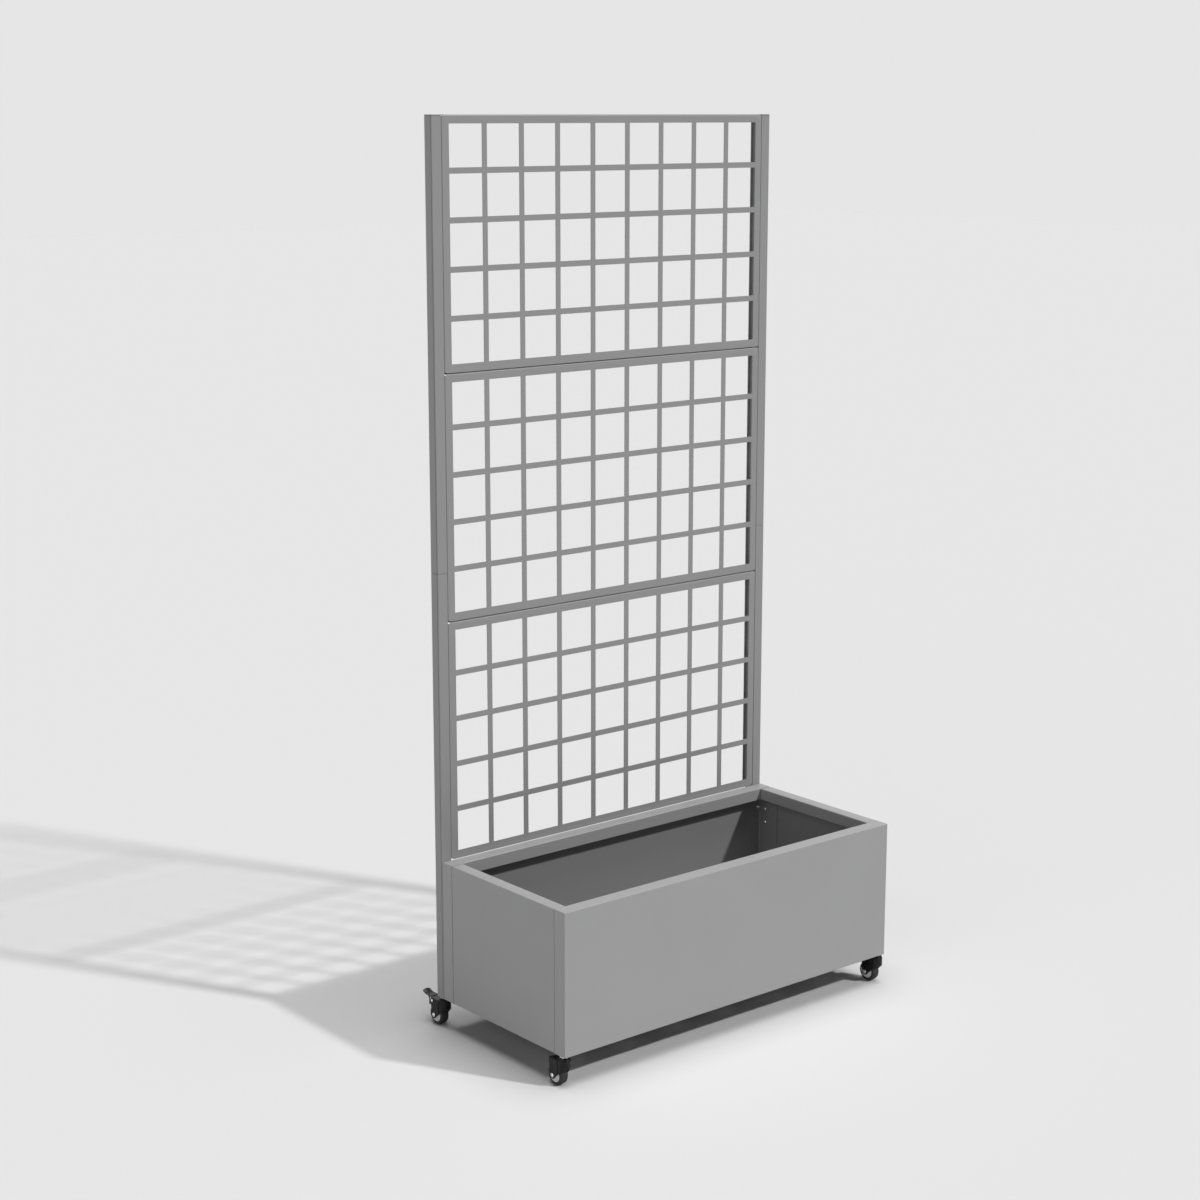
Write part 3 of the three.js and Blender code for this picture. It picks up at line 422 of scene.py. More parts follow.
def sorted_out(geom, sort):
    """The vertices, edges or faces of a mixed list."""
    return [item for item in geom if isinstance(item, sort)]


def shift(bm, run):
    """Moves a whole shape."""
    bmesh.ops.translate(bm, vec=run, verts=bm.verts)
    return bm


def block(low, high):
    """A plain block between two corners."""
    low, high = Vector(low), Vector(high)
    bm = bmesh.new()
    bmesh.ops.create_cube(bm, size=1.0)
    bmesh.ops.scale(bm, vec=high - low, verts=bm.verts)
    return shift(bm, (low + high) / 2)


def chain(bm, corners, closed=False):
    """The vertices and the edges of a line through corners."""
    verts = [bm.verts.new(corner) for corner in corners]
    ends = verts[1:] + (verts[:1] if closed else [])
    return verts, [bm.edges.new(pair) for pair in zip(verts, ends)]


def draw_out(bm, edges, run):
    """Draws faces from edges along run, and gives back the vertices and edges at their far end."""
    drawn = bmesh.ops.extrude_edge_only(bm, edges=edges)["geom"]
    verts = sorted_out(drawn, bmesh.types.BMVert)
    bmesh.ops.translate(bm, vec=run, verts=verts)
    return verts, [e for e in sorted_out(drawn, bmesh.types.BMEdge) if set(e.verts) <= set(verts)]


def raise_up(bm, run):
    """Draws a flat shape out along run into a solid."""
    drawn = bmesh.ops.extrude_face_region(bm, geom=bm.faces[:])["geom"]
    bmesh.ops.translate(bm, vec=run, verts=sorted_out(drawn, bmesh.types.BMVert))
    bmesh.ops.recalc_face_normals(bm, faces=bm.faces)
    return bm


def strip(corners, run):
    """A folded skin: a line of corners drawn out along run."""
    bm = bmesh.new()
    draw_out(bm, chain(bm, corners)[1], run)
    return bm


def turned(profile, axis, steps, closed=False):
    """A line of [radius, along] corners turned once about the origin's X or Z axis."""
    bm = bmesh.new()
    out = Z_AXIS if axis == X_AXIS else X_AXIS
    verts, edges = chain(bm, [out * radius + axis * along for radius, along in profile], closed)
    bmesh.ops.spin(
        bm, geom=verts + edges, cent=(0, 0, 0), axis=axis, angle=2 * math.pi, steps=steps, use_merge=True
    )
    bmesh.ops.remove_doubles(bm, verts=bm.verts, dist=FINE)
    bmesh.ops.recalc_face_normals(bm, faces=bm.faces)
    return bm


def mirrored(half):
    """A profile joined to its mirror image across the middle plane."""
    return [(radius, -along) for radius, along in half] + list(reversed(half))


def ease(bm, geom, radius, segments, affect="EDGES"):
    """Rounds some edges or corners."""
    bmesh.ops.bevel(
        bm, geom=geom, offset=radius, offset_type="OFFSET", segments=segments, profile=0.5,
        affect=affect, clamp_overlap=True, material=-1,
    )
    return bm


def fold(bm, radius, chosen=None):
    """Rounds the sharp folds of a skin: all of them, or those that a test picks."""
    folds = [e for e in bm.edges if len(e.link_faces) == 2 and e.calc_face_angle() > SHARP]
    return ease(bm, [e for e in folds if chosen is None or chosen(e)], radius, BEND_STEPS)


def face_away(bm, inside):
    """Turns a skin so that its outside faces away from a point."""
    bmesh.ops.recalc_face_normals(bm, faces=bm.faces)
    widest = max(bm.faces, key=lambda face: face.calc_area())
    if widest.normal.dot(widest.calc_center_median() - Vector(inside)) < 0:
        bmesh.ops.reverse_faces(bm, faces=bm.faces)


def folded(corners, run, inside, radius):
    """A skin with rounded folds, whose outside faces away from a point."""
    bm = strip(corners, run)
    face_away(bm, inside)
    return fold(bm, radius)


def cut_across(bm, faces, place, direction, clear=False):
    """Cuts some flat faces along a plane, may clear what lies beyond, and gives back the parts."""
    parts = set(faces)
    for face in faces:
        parts.update(face.edges)
        parts.update(face.verts)
    cut = bmesh.ops.bisect_plane(
        bm, geom=list(parts), dist=FINE, plane_co=place, plane_no=direction, clear_outer=clear
    )
    return sorted_out(cut["geom"], bmesh.types.BMFace)


def carve(bm, cutter, operation="DIFFERENCE"):
    """Cuts one closed shape with another."""
    objects = []
    for shape in (bm, cutter):
        mesh = bpy.data.meshes.new("carving")
        shape.to_mesh(mesh)
        shape.free()
        objects.append(bpy.data.objects.new("carving", mesh))
        bpy.context.scene.collection.objects.link(objects[-1])
    cut = objects[0].modifiers.new("cut", "BOOLEAN")
    cut.object = objects[1]
    cut.operation = operation
    cut.solver = "EXACT"
    depsgraph = bpy.context.evaluated_depsgraph_get()
    mesh = bpy.data.meshes.new_from_object(objects[0].evaluated_get(depsgraph))
    result = bmesh.new()
    result.from_mesh(mesh)
    for item in objects:
        bpy.data.objects.remove(item)
    bpy.data.meshes.remove(mesh)
    return result


def join(shapes):
    """Several shapes in one."""
    whole = bmesh.new()
    for shape in shapes:
        mesh = bpy.data.meshes.new("joining")
        shape.to_mesh(mesh)
        shape.free()
        whole.from_mesh(mesh)
        bpy.data.meshes.remove(mesh)
    return whole


def aim(bm, point, outwards):
    """Stands a shape on a point, facing outwards."""
    turn = Vector(outwards).to_track_quat("Z", "Y").to_matrix().to_4x4()
    bmesh.ops.transform(bm, matrix=Matrix.Translation(point) @ turn, verts=bm.verts)
    return bm


def scattered(bm, places):
    """Copies of a shape in one, each on its point and facing its own way."""
    copies = [aim(bm.copy(), point, outwards) for point, outwards in places]
    bm.free()
    return join(copies)


def node_copy(node):
    """A merged copy of a CAD node, its flat faces made whole."""
    bm = bmesh.new()
    bm.from_mesh(frame["nodes"][node].data)
    bmesh.ops.remove_doubles(bm, verts=bm.verts, dist=SAME)
    bmesh.ops.dissolve_limit(bm, angle_limit=FLAT_ANGLE, verts=bm.verts, edges=bm.edges)
    return bm


def make_piece(name, bm, look, node="", body=ROOT, wall=0.0, edge=0.0, segments=2, inside_shade_look=""):
    """Makes the finished object of a shape, with any darker look of its inside faces as painted shade, and ties
    it to the frame.
    """
    for face in bm.faces:
        face.smooth = True
    mesh = bpy.data.meshes.new(name)
    bm.to_mesh(mesh)
    bm.free()
    mesh.materials.append(finish(look))
    # A second look for the inside faces: the darker inner coat, which paints the shade inside the box.
    if inside_shade_look:
        mesh.materials.append(finish(inside_shade_look))
    piece = bpy.data.objects.new(name, mesh)
    bpy.context.scene.collection.objects.link(piece)
    if wall:
        thicken = piece.modifiers.new("sheet", "SOLIDIFY")
        thicken.thickness = wall
        thicken.offset = -1.0
        thicken.use_even_offset = True
        thicken.use_quality_normals = True
        # The inner faces of the sheet take that second look, the painted shade.
        thicken.material_offset = 1 if inside_shade_look else 0
    if edge:
        soften = piece.modifiers.new("edges", "BEVEL")
        soften.width = edge
        soften.segments = segments
        soften.limit_method = "ANGLE"
        soften.angle_limit = CUT_ANGLE
    weigh = piece.modifiers.new("normals", "WEIGHTED_NORMAL")
    weigh.keep_sharp = True
    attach(piece, body)
    if node:
        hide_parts(node)


def sheet_piece(name, skin, look, node, inside_shade_look="", edge=None):
    """Makes a piece of folded sheet steel from its outer skin."""
    sheet = bpy.context.scene.planter_sheet
    make_piece(name, skin, look, node, wall=sheet.wall, edge=edge or sheet.edge, inside_shade_look=inside_shade_look)


# ---- Box ----

HOLE_STEPS = 32
HOLE_REACH = 8  # Faces within this many margins of a hole are cut for it,
LARGE_FACE = 0.01  # and so are those of more square metres than this.


def tray_skin(low, high, sheet):
    """The skin of a long wall that faces -Y: face, two returns, rim with its inner fold, bottom flange."""
    bm = block(low, high)
    rear = [face for face in bm.faces if face.normal.y > FACING]
    bmesh.ops.delete(bm, geom=rear, context="FACES_ONLY")
    bottom = [face for face in bm.faces if face.normal.z < -FACING]
    flange_end = Vector((0, low.y + sheet.flange, 0))
    for part in cut_across(bm, bottom, flange_end, Y_AXIS):
        if part.calc_center_median().y > flange_end.y:
            bmesh.ops.delete(bm, geom=[part], context="FACES_ONLY")
    lip_end = high.x - sheet.side_lip + sheet.wall
    for side in (-1, 1):
        top = [face for face in bm.faces if face.normal.z > FACING]
        cut_across(bm, top, Vector((side * lip_end, 0, 0)), X_AXIS)
    rim = [
        e for e in bm.edges
        if on_level(e, 1, high.y) and on_level(e, 2, high.z) and same(e.verts[0].co.x, -e.verts[1].co.x)
    ]
    draw_out(bm, rim, (0, 0, -sheet.lip_drop))
    middle = (low + high) / 2
    face_away(bm, (0, middle.y, middle.z))
    fold(bm, sheet.rim_bend, lambda e: on_level(e, 1, low.y) and on_level(e, 2, high.z))
    return fold(bm, sheet.bend)


class PLANTER_OT_long_walls(bpy.types.Operator):
    """Makes the front and back panels of the box, each folded from one sheet"""

    bl_idname = "planter.long_walls"
    bl_label = "Long walls"

    def execute(self, context):
        sheet = context.scene.planter_sheet
        front = tray_skin(*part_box("front_panel"), sheet)
        # The inside faces of the walls take the darker inner coat: painted shade.
        sheet_piece("front_wall", front, "box_coat", "front_panel", "inner_coat_painted_shade")
        low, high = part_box("back_panel")
        back = tray_skin(Vector((low.x, -high.y, low.z)), Vector((high.x, -low.y, high.z)), sheet)
        bmesh.ops.transform(back, matrix=Matrix.Rotation(math.pi, 4, "Z"), verts=back.verts)
        sheet_piece("back_wall", back, "box_coat", "back_panel", "inner_coat_painted_shade")
        return {"FINISHED"}


class PLANTER_OT_end_walls(bpy.types.Operator):
    """Makes the two end walls of the box, with their rims and flanges"""

    bl_idname = "planter.end_walls"
    bl_label = "End walls"

    def execute(self, context):
        sheet = context.scene.planter_sheet
        for name, side in SIDES:
            node = f"{name}_side_panel"
            low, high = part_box(node)
            middle = (low + high) / 2
            outer = low.x if side < 0 else high.x
            lip = outer - side * sheet.side_lip
            corners = [
                (lip, low.y, high.z - sheet.lip_drop),
                (lip, low.y, high.z),
                (outer, low.y, high.z),
                (outer, low.y, low.z),
                (outer - side * sheet.flange, low.y, low.z),
            ]
            skin = folded(corners, (0, high.y - low.y, 0), (0, middle.y, middle.z), sheet.bend)
            # The inside faces of the end walls take the darker inner coat: painted shade.
            sheet_piece(f"{name}_end_wall", skin, "box_coat", node, "inner_coat_painted_shade")
        return {"FINISHED"}


class PLANTER_OT_corner_angles(bpy.types.Operator):
    """Makes the upright angles that hold the corners of the box from inside"""

    bl_idname = "planter.corner_angles"
    bl_label = "Corner angles"

    def execute(self, context):
        sheet = context.scene.planter_sheet
        for end_name, end in ENDS:
            for side_name, side in SIDES:
                node = f"corner_angle_{end_name}_{side_name}"
                low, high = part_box(node)
                x = low.x if side < 0 else high.x
                y = low.y if end < 0 else high.y
                corners = [
                    (x - side * sheet.angle_short, y, low.z),
                    (x, y, low.z),
                    (x, y - end * sheet.angle_long, low.z),
                ]
                inside = (0, y - end * sheet.angle_long / 2, 0)
                skin = folded(corners, (0, 0, high.z - low.z), inside, sheet.angle_bend)
                # The corner angles are all in the darker inner coat: painted shade inside the box.
                sheet_piece(f"{node}_fold", skin, "inner_coat_painted_shade", node)
        return {"FINISHED"}


def nearest_corner(face, point):
    """How far the nearest corner of a face is from a point."""
    return min((vert.co - point).length for vert in face.verts)


def round_hole(bm, centre, radius):
    """Opens a round hole in a flat level skin, in a square that is cut round it."""
    margin = 2 * radius
    for direction in (X_AXIS, Y_AXIS):
        for side in (-1, 1):
            near = [
                f for f in bm.faces
                if abs(f.normal.z) > FACING and abs(f.calc_center_median().z - centre.z) < 10 * SAME
                and (nearest_corner(f, centre) < HOLE_REACH * margin or f.calc_area() > LARGE_FACE)
            ]
            cut_across(bm, near, centre + direction * side * margin, direction)
    cell = min(bm.faces, key=lambda face: (face.calc_center_median() - centre).length)
    border = list(cell.edges)
    bmesh.ops.delete(bm, geom=[cell], context="FACES_ONLY")
    ring = bmesh.ops.create_circle(bm, cap_ends=False, radius=radius, segments=HOLE_STEPS)["verts"]
    bmesh.ops.translate(bm, vec=centre, verts=ring)
    rim = {edge for vert in ring for edge in vert.link_edges}
    bmesh.ops.triangle_fill(bm, use_beauty=True, edges=border + list(rim))


class PLANTER_OT_box_floor(bpy.types.Operator):
    """Makes the floor sheet with its drain holes, and the rails that carry it"""

    bl_idname = "planter.box_floor"
    bl_label = "Floor of the box"

    def execute(self, context):
        sheet = context.scene.planter_sheet
        low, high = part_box("floor_panel")
        middle = (low + high) / 2
        below = (middle.x, middle.y, low.z - 1.0)
        corners = [
            (low.x, y, z) for y, z in ((low.y, low.z), (low.y, high.z), (high.y, high.z), (high.y, low.z))
        ]
        skin = folded(corners, (high.x - low.x, 0, 0), below, sheet.bend)
        for column in range(sheet.drain_columns):
            for row in range(sheet.drain_rows):
                x = middle.x + (column - (sheet.drain_columns - 1) / 2) * sheet.drain_pitch_x
                y = middle.y + (row - (sheet.drain_rows - 1) / 2) * sheet.drain_pitch_y
                round_hole(skin, Vector((x, y, high.z)), sheet.drain_radius)
        face_away(skin, below)
        # The floor sheet is all in the darker inner coat: painted shade inside the box.
        sheet_piece("box_floor", skin, "inner_coat_painted_shade", "floor_panel")
        for name in ("left", "middle", "right"):
            node = f"floor_rail_{name}"
            make_piece(f"{node}_fold", node_copy(node), "box_coat", node, edge=sheet.edge)
        return {"FINISHED"}


# ---- Trellis ----

CAP_EDGE = 0.0005  # How far the edges of a post cap are rounded.


def lattice_skin(low, high, trellis):
    """The skin of a trellis panel: a sheet of square openings with its edges folded back."""
    bm = strip([(low.x, low.y, low.z), (high.x, low.y, low.z)], (0, 0, high.z - low.z))
    pitch_x = (high.x - low.x - 2 * trellis.rail + trellis.bar) / trellis.columns
    pitch_z = (high.z - low.z - 2 * trellis.rail + trellis.bar) / trellis.rows
    openings_x = [low.x + trellis.rail + column * pitch_x for column in range(trellis.columns)]
    openings_z = [low.z + trellis.rail + row * pitch_z for row in range(trellis.rows)]
    lines_x = [x + step for x in openings_x for step in (0, pitch_x - trellis.bar)]
    lines_z = [z + step for z in openings_z for step in (0, pitch_z - trellis.bar)]
    lines_x += [low.x + trellis.relief_width, high.x - trellis.relief_width]
    lines_z += [low.z + trellis.relief_height, high.z - trellis.relief_height]
    for x in lines_x:
        cut_across(bm, bm.faces[:], Vector((x, 0, 0)), X_AXIS)
    for z in lines_z:
        cut_across(bm, bm.faces[:], Vector((0, 0, z)), Z_AXIS)

    def opened(face):
        middle = face.calc_center_median()
        return any(x < middle.x < x + pitch_x - trellis.bar for x in openings_x) and any(
            z < middle.z < z + pitch_z - trellis.bar for z in openings_z
        )

    bmesh.ops.delete(bm, geom=[face for face in bm.faces if opened(face)], context="FACES")
    near_x, near_z = trellis.relief_width + 10 * SAME, trellis.relief_height + 10 * SAME
    for face in bm.faces[:]:
        box_x = [vert.co.x for vert in face.verts]
        box_z = [vert.co.z for vert in face.verts]
        if max(box_x) - min(box_x) < near_x and max(box_z) - min(box_z) < near_z:
            at_side = min(box_x) if same(min(box_x), low.x) else max(box_x)
            at_end = min(box_z) if same(min(box_z), low.z) else max(box_z)
            corner = [v for v in face.verts if same(v.co.x, at_side) and same(v.co.z, at_end)]
            beside = [v for v in face.verts if same(v.co.x, at_side) != same(v.co.z, at_end)]
            bmesh.ops.connect_vert_pair(bm, verts=beside)
            bmesh.ops.delete(bm, geom=corner, context="VERTS")
    for end in (low.z, high.z):
        draw_out(bm, [e for e in bm.edges if on_level(e, 2, end)], (0, trellis.end_flange, 0))
    for side, inwards in ((low.x, trellis.hem), (high.x, -trellis.hem)):
        edges = [e for e in bm.edges if on_level(e, 0, side)]
        draw_out(bm, draw_out(bm, edges, (0, trellis.flange, 0))[1], (inwards, 0, 0))
    bmesh.ops.recalc_face_normals(bm, faces=bm.faces)
    front = next(
        f for f in bm.faces
        if abs(f.normal.y) > FACING and abs(f.calc_center_median().y - low.y) < 10 * SAME
    )
    if front.normal.y > 0:
        bmesh.ops.reverse_faces(bm, faces=bm.faces)

    def runs_along(edge, axis):
        return abs((edge.verts[0].co - edge.verts[1].co).normalized().dot(axis)) > FACING

    middle_z = (low.z + high.z) / 2
    fold(bm, trellis.side_bend, lambda e: runs_along(e, Z_AXIS))
    fold(bm, trellis.top_bend, lambda e: runs_along(e, X_AXIS) and e.verts[0].co.z > middle_z)
    return fold(bm, trellis.foot_bend, lambda e: runs_along(e, X_AXIS) and e.verts[0].co.z < middle_z)


class PLANTER_OT_trellis_panels(bpy.types.Operator):
    """Makes the three trellis panels, each one punched and folded sheet"""

    bl_idname = "planter.trellis_panels"
    bl_label = "Trellis panels"

    def execute(self, context):
        for name in PANELS:
            node = f"trellis_panel_{name}"
            skin = lattice_skin(*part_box(node), context.scene.planter_trellis)
            sheet_piece(f"trellis_{name}", skin, "trellis_coat", node)
        return {"FINISHED"}


class PLANTER_OT_posts(bpy.types.Operator):
    """Makes the round-cornered post tubes and the plugs in their tops"""

    bl_idname = "planter.posts"
    bl_label = "Posts and caps"

    def execute(self, context):
        trellis = context.scene.planter_trellis
        for name, side in SIDES:
            for half in ("lower", "upper"):
                node = f"post_{name}_{half}"
                low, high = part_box(node)
                outer, inner = (low.x, high.x) if side < 0 else (high.x, low.x)
                seam = low.y + trellis.seam_place
                corners = [
                    (outer, seam + trellis.seam_gap / 2, low.z),
                    (outer, high.y, low.z),
                    (inner, high.y, low.z),
                    (inner, low.y, low.z),
                    (outer, low.y, low.z),
                    (outer, seam - trellis.seam_gap / 2, low.z),
                ]
                skin = folded(corners, (0, 0, high.z - low.z), (low + high) / 2, trellis.post_radius)
                sheet_piece(f"{node}_tube", skin, "trellis_coat", node, edge=trellis.post_edge)
            node = f"post_{name}_cap"
            make_piece(f"{node}_plug", node_copy(node), "cap_plastic", node, edge=CAP_EDGE, segments=3)
        return {"FINISHED"}


# ---- Screws ----

DOME_STEPS, HEAD_STEPS = 5, 28  # From rim to crown, and round a screw head.
HEAD_RIM = 0.3  # Height of the rim of a screw head, as a part of the whole.
HEAD_EDGE = 0.00012  # How far the edges of a screw head are rounded.


def screw_head(screw):
    """A domed head that stands on z = 0, with a cross recess."""
    profile = [(0.0, 0.0), (screw.head_radius, 0.0)]
    for step in range(DOME_STEPS + 1):
        turn = step / DOME_STEPS * math.pi / 2
        rise = HEAD_RIM + (1.0 - HEAD_RIM) * math.sin(turn)
        profile.append((screw.head_radius * math.cos(turn), screw.head_height * rise))
    head = turned(profile, Z_AXIS, HEAD_STEPS)
    reach, half = screw.slot_length / 2, screw.slot_width / 2
    bottom, top = screw.head_height - screw.slot_depth, 2 * screw.head_height
    for along, across in ((reach, half), (half, reach)):
        head = carve(head, block((-along, -across, bottom), (along, across, top)))
    return head


def screw_group(name, places, screw):
    """One piece that holds all the screw heads of a group."""
    make_piece(name, scattered(screw_head(screw), places), "zinc_plate", edge=HEAD_EDGE)


class PLANTER_OT_trellis_screws(bpy.types.Operator):
    """Puts the screws through the side flanges of the trellis panels"""

    bl_idname = "planter.trellis_screws"
    bl_label = "Trellis screws"

    def execute(self, context):
        screw = context.scene.planter_screws
        wall = context.scene.planter_sheet.wall
        for name in PANELS:
            low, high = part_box(f"trellis_panel_{name}")
            middle = (low + high) / 2
            heights = (low.z + screw.panel_inset, middle.z, high.z - screw.panel_inset)
            places = [
                (Vector((edge + side * wall, middle.y, z)), X_AXIS * side)
                for edge, side in ((low.x, 1), (high.x, -1))
                for z in heights
            ]
            screw_group(f"trellis_screws_{name}", places, screw)
        return {"FINISHED"}


class PLANTER_OT_box_screws(bpy.types.Operator):
    """Puts the screws on the corner angles inside the box"""

    bl_idname = "planter.box_screws"
    bl_label = "Box screws"

    def execute(self, context):
        screw = context.scene.planter_screws
        wall = context.scene.planter_sheet.wall
        front_low, front_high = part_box("front_panel")
        rim = front_high.z
        rear_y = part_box("back_panel")[1].y
        places = []
        for end_name, end in ENDS:
            outer_y = front_low.y if end < 0 else rear_y
            for side_name, side in SIDES:
                low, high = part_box(f"corner_angle_{end_name}_{side_name}")
                inner_x = (low.x if side < 0 else high.x) - side * wall
                inner_y = (low.y if end < 0 else high.y) - end * wall
                foot = low.z + screw.wall_drop
                for z in (rim - screw.box_high, rim - screw.box_low, foot, foot + screw.box_high / 2):
                    places.append((Vector((inner_x, outer_y - end * screw.box_inset, z)), X_AXIS * -side))
                for z in (rim - screw.wall_drop, foot):
                    point = Vector((side * (front_high.x - screw.wall_inset), inner_y, z))
                    places.append((point, Y_AXIS * -end))
        screw_group("box_screws", places, screw)
        return {"FINISHED"}


# ---- Casters ----

CLEARANCE = 0.0003  # What two parts of a caster leave between them, in metres.
BEYOND = 0.01  # How far a cutter reaches past what it cuts.
# How far the cut edges of stampings, turned and pressed parts, rivets and shoe rivets are rounded.
STAMPED_EDGE, TURNED_EDGE, PRESSED_EDGE, RIVET_EDGE, SHOE_EDGE = 0.0004, 0.0005, 0.0003, 0.0002, 0.0001
# Steps of a full turn, but of the boss round the axle its free part.
TYRE_STEPS, CORE_STEPS, CUP_STEPS, ROD_STEPS, SHOE_STEPS, BOSS_STEPS = 72, 64, 48, 32, 24, 14
CUP_EASE, CUP_WALL, CUP_SHOULDER = 0.0004, 0.0018, 0.0012  # Foot, upright wall and slope of a ball cup.
SHOULDER_STEPS, BEAD_STEPS = 7, 2
BEAD_RADIUS = 0.0008  # Of the tyre's inner corners.
CORE_BORE, CORE_EASE = 0.0032, 0.0008  # Radius of the bore, and how far the core's corners slope.
WEB_STEP, HUB_FILLET, RIM_FILLET = 0.001, 0.0012, 0.0018  # Where the web meets the hub and the rim.
RIM_INSET = 0.0007  # How far the rim of the core stands back from the tyre's side.
AXLE_SHANK, PIN_SHANK = 0.003, 0.002  # Radii of the shanks of the rivets.
RIVET_DOME = ((0.0, 1.0), (0.5, 1.0), (0.8, 0.75), (1.0, 0.35), (1.0, 0.0))  # Parts of radius and height.
SHOE_DOME = ((0.0, 0.0), (1.0, 0.0), (1.0, 0.0005), (0.6, 0.0012), (0.0, 0.0014))  # Part of radius, height.
SHOE_INSET, SHOE_DROP = 0.0015, 0.0135  # The shoe's rivet, from the saddle and from the box.
ARCH_SLICES = 8  # Slices of a pedal's plate that follow its arch.
CORNER_STEPS, PEDAL_STEPS = 5, 3


def joint_place(name):
    """Where a joint is at rest."""
    return Vector(next(joint["pos_m"] for joint in frame["joints"] if joint["name"] == name))


def caster_origin(name):
    """Where the stem of a caster meets the underside of the box."""
    pivot = joint_place(f"{name}_swivel")
    return Vector((pivot.x, pivot.y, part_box("front_panel")[0].z))


def hood_prism(caster, half, tail, bottom, top):
    """An upright prism with a half-round front that steps out to straight sides, which run back to a tail."""
    bm = bmesh.new()
    radius = half - caster.hood_inset
    bmesh.ops.create_circle(bm, cap_ends=True, radius=radius, segments=caster.hood_steps)
    cut_across(bm, bm.faces[:], (0, 0, 0), Y_AXIS, clear=True)
    inner_lines = []
    step_start = caster.leg_front - caster.leg_step
    for place, reach in ((step_start, radius), (caster.leg_front, half), (tail, half)):
        end = max(v.co.y for v in bm.verts)
        line = [e for e in bm.edges if on_level(e, 1, end)]
        moved, _ = draw_out(bm, line, (0, place - end, 0))
        widest = max(abs(v.co.x) for v in moved)
        bmesh.ops.scale(bm, vec=(reach / widest, 1, 1), verts=moved)
        inner_lines += line
    bmesh.ops.dissolve_edges(bm, edges=inner_lines, use_verts=False)
    return raise_up(shift(bm, (0, 0, bottom)), (0, 0, top - bottom))


def round_crown(bm, top, radius):
    """Rounds the top edge of a hood, but not its open tail."""
    tail = max(v.co.y for v in bm.verts)
    rim = [
        e for e in bm.edges
        if on_level(e, 2, top) and e.calc_face_angle(0) > SHARP and not on_level(e, 1, tail)
    ]
    return ease(bm, rim, radius, BEND_STEPS)


def tangent_point(point, centre, radius, side):
    """Where a line from a point in the Y and Z plane touches a circle."""
    away = Vector((0, point[0] - centre[0], point[1] - centre[1]))
    turn = math.atan2(away.z, away.y) + side * math.acos(radius / away.length)
    return turn, Vector((0, centre[0] + radius * math.cos(turn), centre[1] + radius * math.sin(turn)))


def leg_cutter(caster, crown, axle, tail, half):
    """The side outline of the fork, drawn out across it: what lies in it is kept."""
    front = (0.0, crown - caster.leg_drop)
    back = (tail, crown - caster.tail_drop)
    start_turn, start = tangent_point(front, axle, caster.boss_radius, 1)
    end_turn, _ = tangent_point(back, axle, caster.boss_radius, -1)
    sweep = end_turn + 2 * math.pi - start_turn
    bm = bmesh.new()
    first = bm.verts.new(start)
    arc = bmesh.ops.spin(
        bm, geom=[first], cent=(0, *axle), axis=X_AXIS, angle=sweep, steps=BOSS_STEPS, use_merge=False
    )
    hood = crown - caster.hood_drop
    corners = [back, (tail, 0.0), (-2 * half, 0.0), (-2 * half, hood), (-half, hood), front]
    verts = sorted_out(arc["geom_last"], bmesh.types.BMVert)
    verts += [bm.verts.new((0, *corner)) for corner in corners] + [first]
    for pair in zip(verts, verts[1:]):
        bm.edges.new(pair)
    bmesh.ops.edgenet_fill(bm, edges=bm.edges[:])
    return raise_up(shift(bm, (-2 * half, 0, 0)), (4 * half, 0, 0))


def rod(radius, start, end, steps=ROD_STEPS):
    """A round rod between two points."""
    start, end = Vector(start), Vector(end)
    bm = bmesh.new()
    bmesh.ops.create_cone(
        bm, cap_ends=True, segments=steps, radius1=radius, radius2=radius, depth=(end - start).length
    )
    return aim(bm, (start + end) / 2, end - start)


def fork_shape(caster, name):
    """The stamped fork, cut from a hood by its side outline and the hole for its stem."""
    origin = caster_origin(name)
    low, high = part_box(f"caster_{name}_fork")
    half = (high.x - low.x) / 2
    tail = high.y - origin.y
    crown = high.z - origin.z
    foot = low.z - origin.z
    axle = joint_place(f"{name}_wheel_spin") - origin
    sheet = caster.fork_sheet
    outer = round_crown(hood_prism(caster, half, tail, foot - BEYOND, crown), crown, caster.crown_radius)
    inner = hood_prism(caster, half - sheet, tail + BEYOND, foot - 2 * BEYOND, crown - sheet)
    fork = carve(outer, round_crown(inner, crown - sheet, caster.crown_radius - sheet))
    fork = carve(fork, leg_cutter(caster, crown, (axle.y, axle.z), tail, half), "INTERSECT")
    fork = carve(fork, rod(caster.stem_radius + CLEARANCE, (0, 0, -10 * BEYOND), (0, 0, 10 * BEYOND)))
    loose = [v for v in fork.verts if len(v.link_edges) == 2 and any(e.is_boundary for e in v.link_edges)]
    bmesh.ops.dissolve_verts(fork, verts=loose)
    return shift(fork, origin)


class PLANTER_OT_forks(bpy.types.Operator):
    """Makes the stamped forks of the four casters"""

    bl_idname = "planter.forks"
    bl_label = "Caster forks"

    def execute(self, context):
        for name in CASTERS:
            make_piece(
                f"{name}_fork_stamping", fork_shape(context.scene.planter_caster, name), "black_coat",
                f"caster_{name}_fork", f"swivel_{name}", edge=STAMPED_EDGE, segments=3,
            )
        return {"FINISHED"}


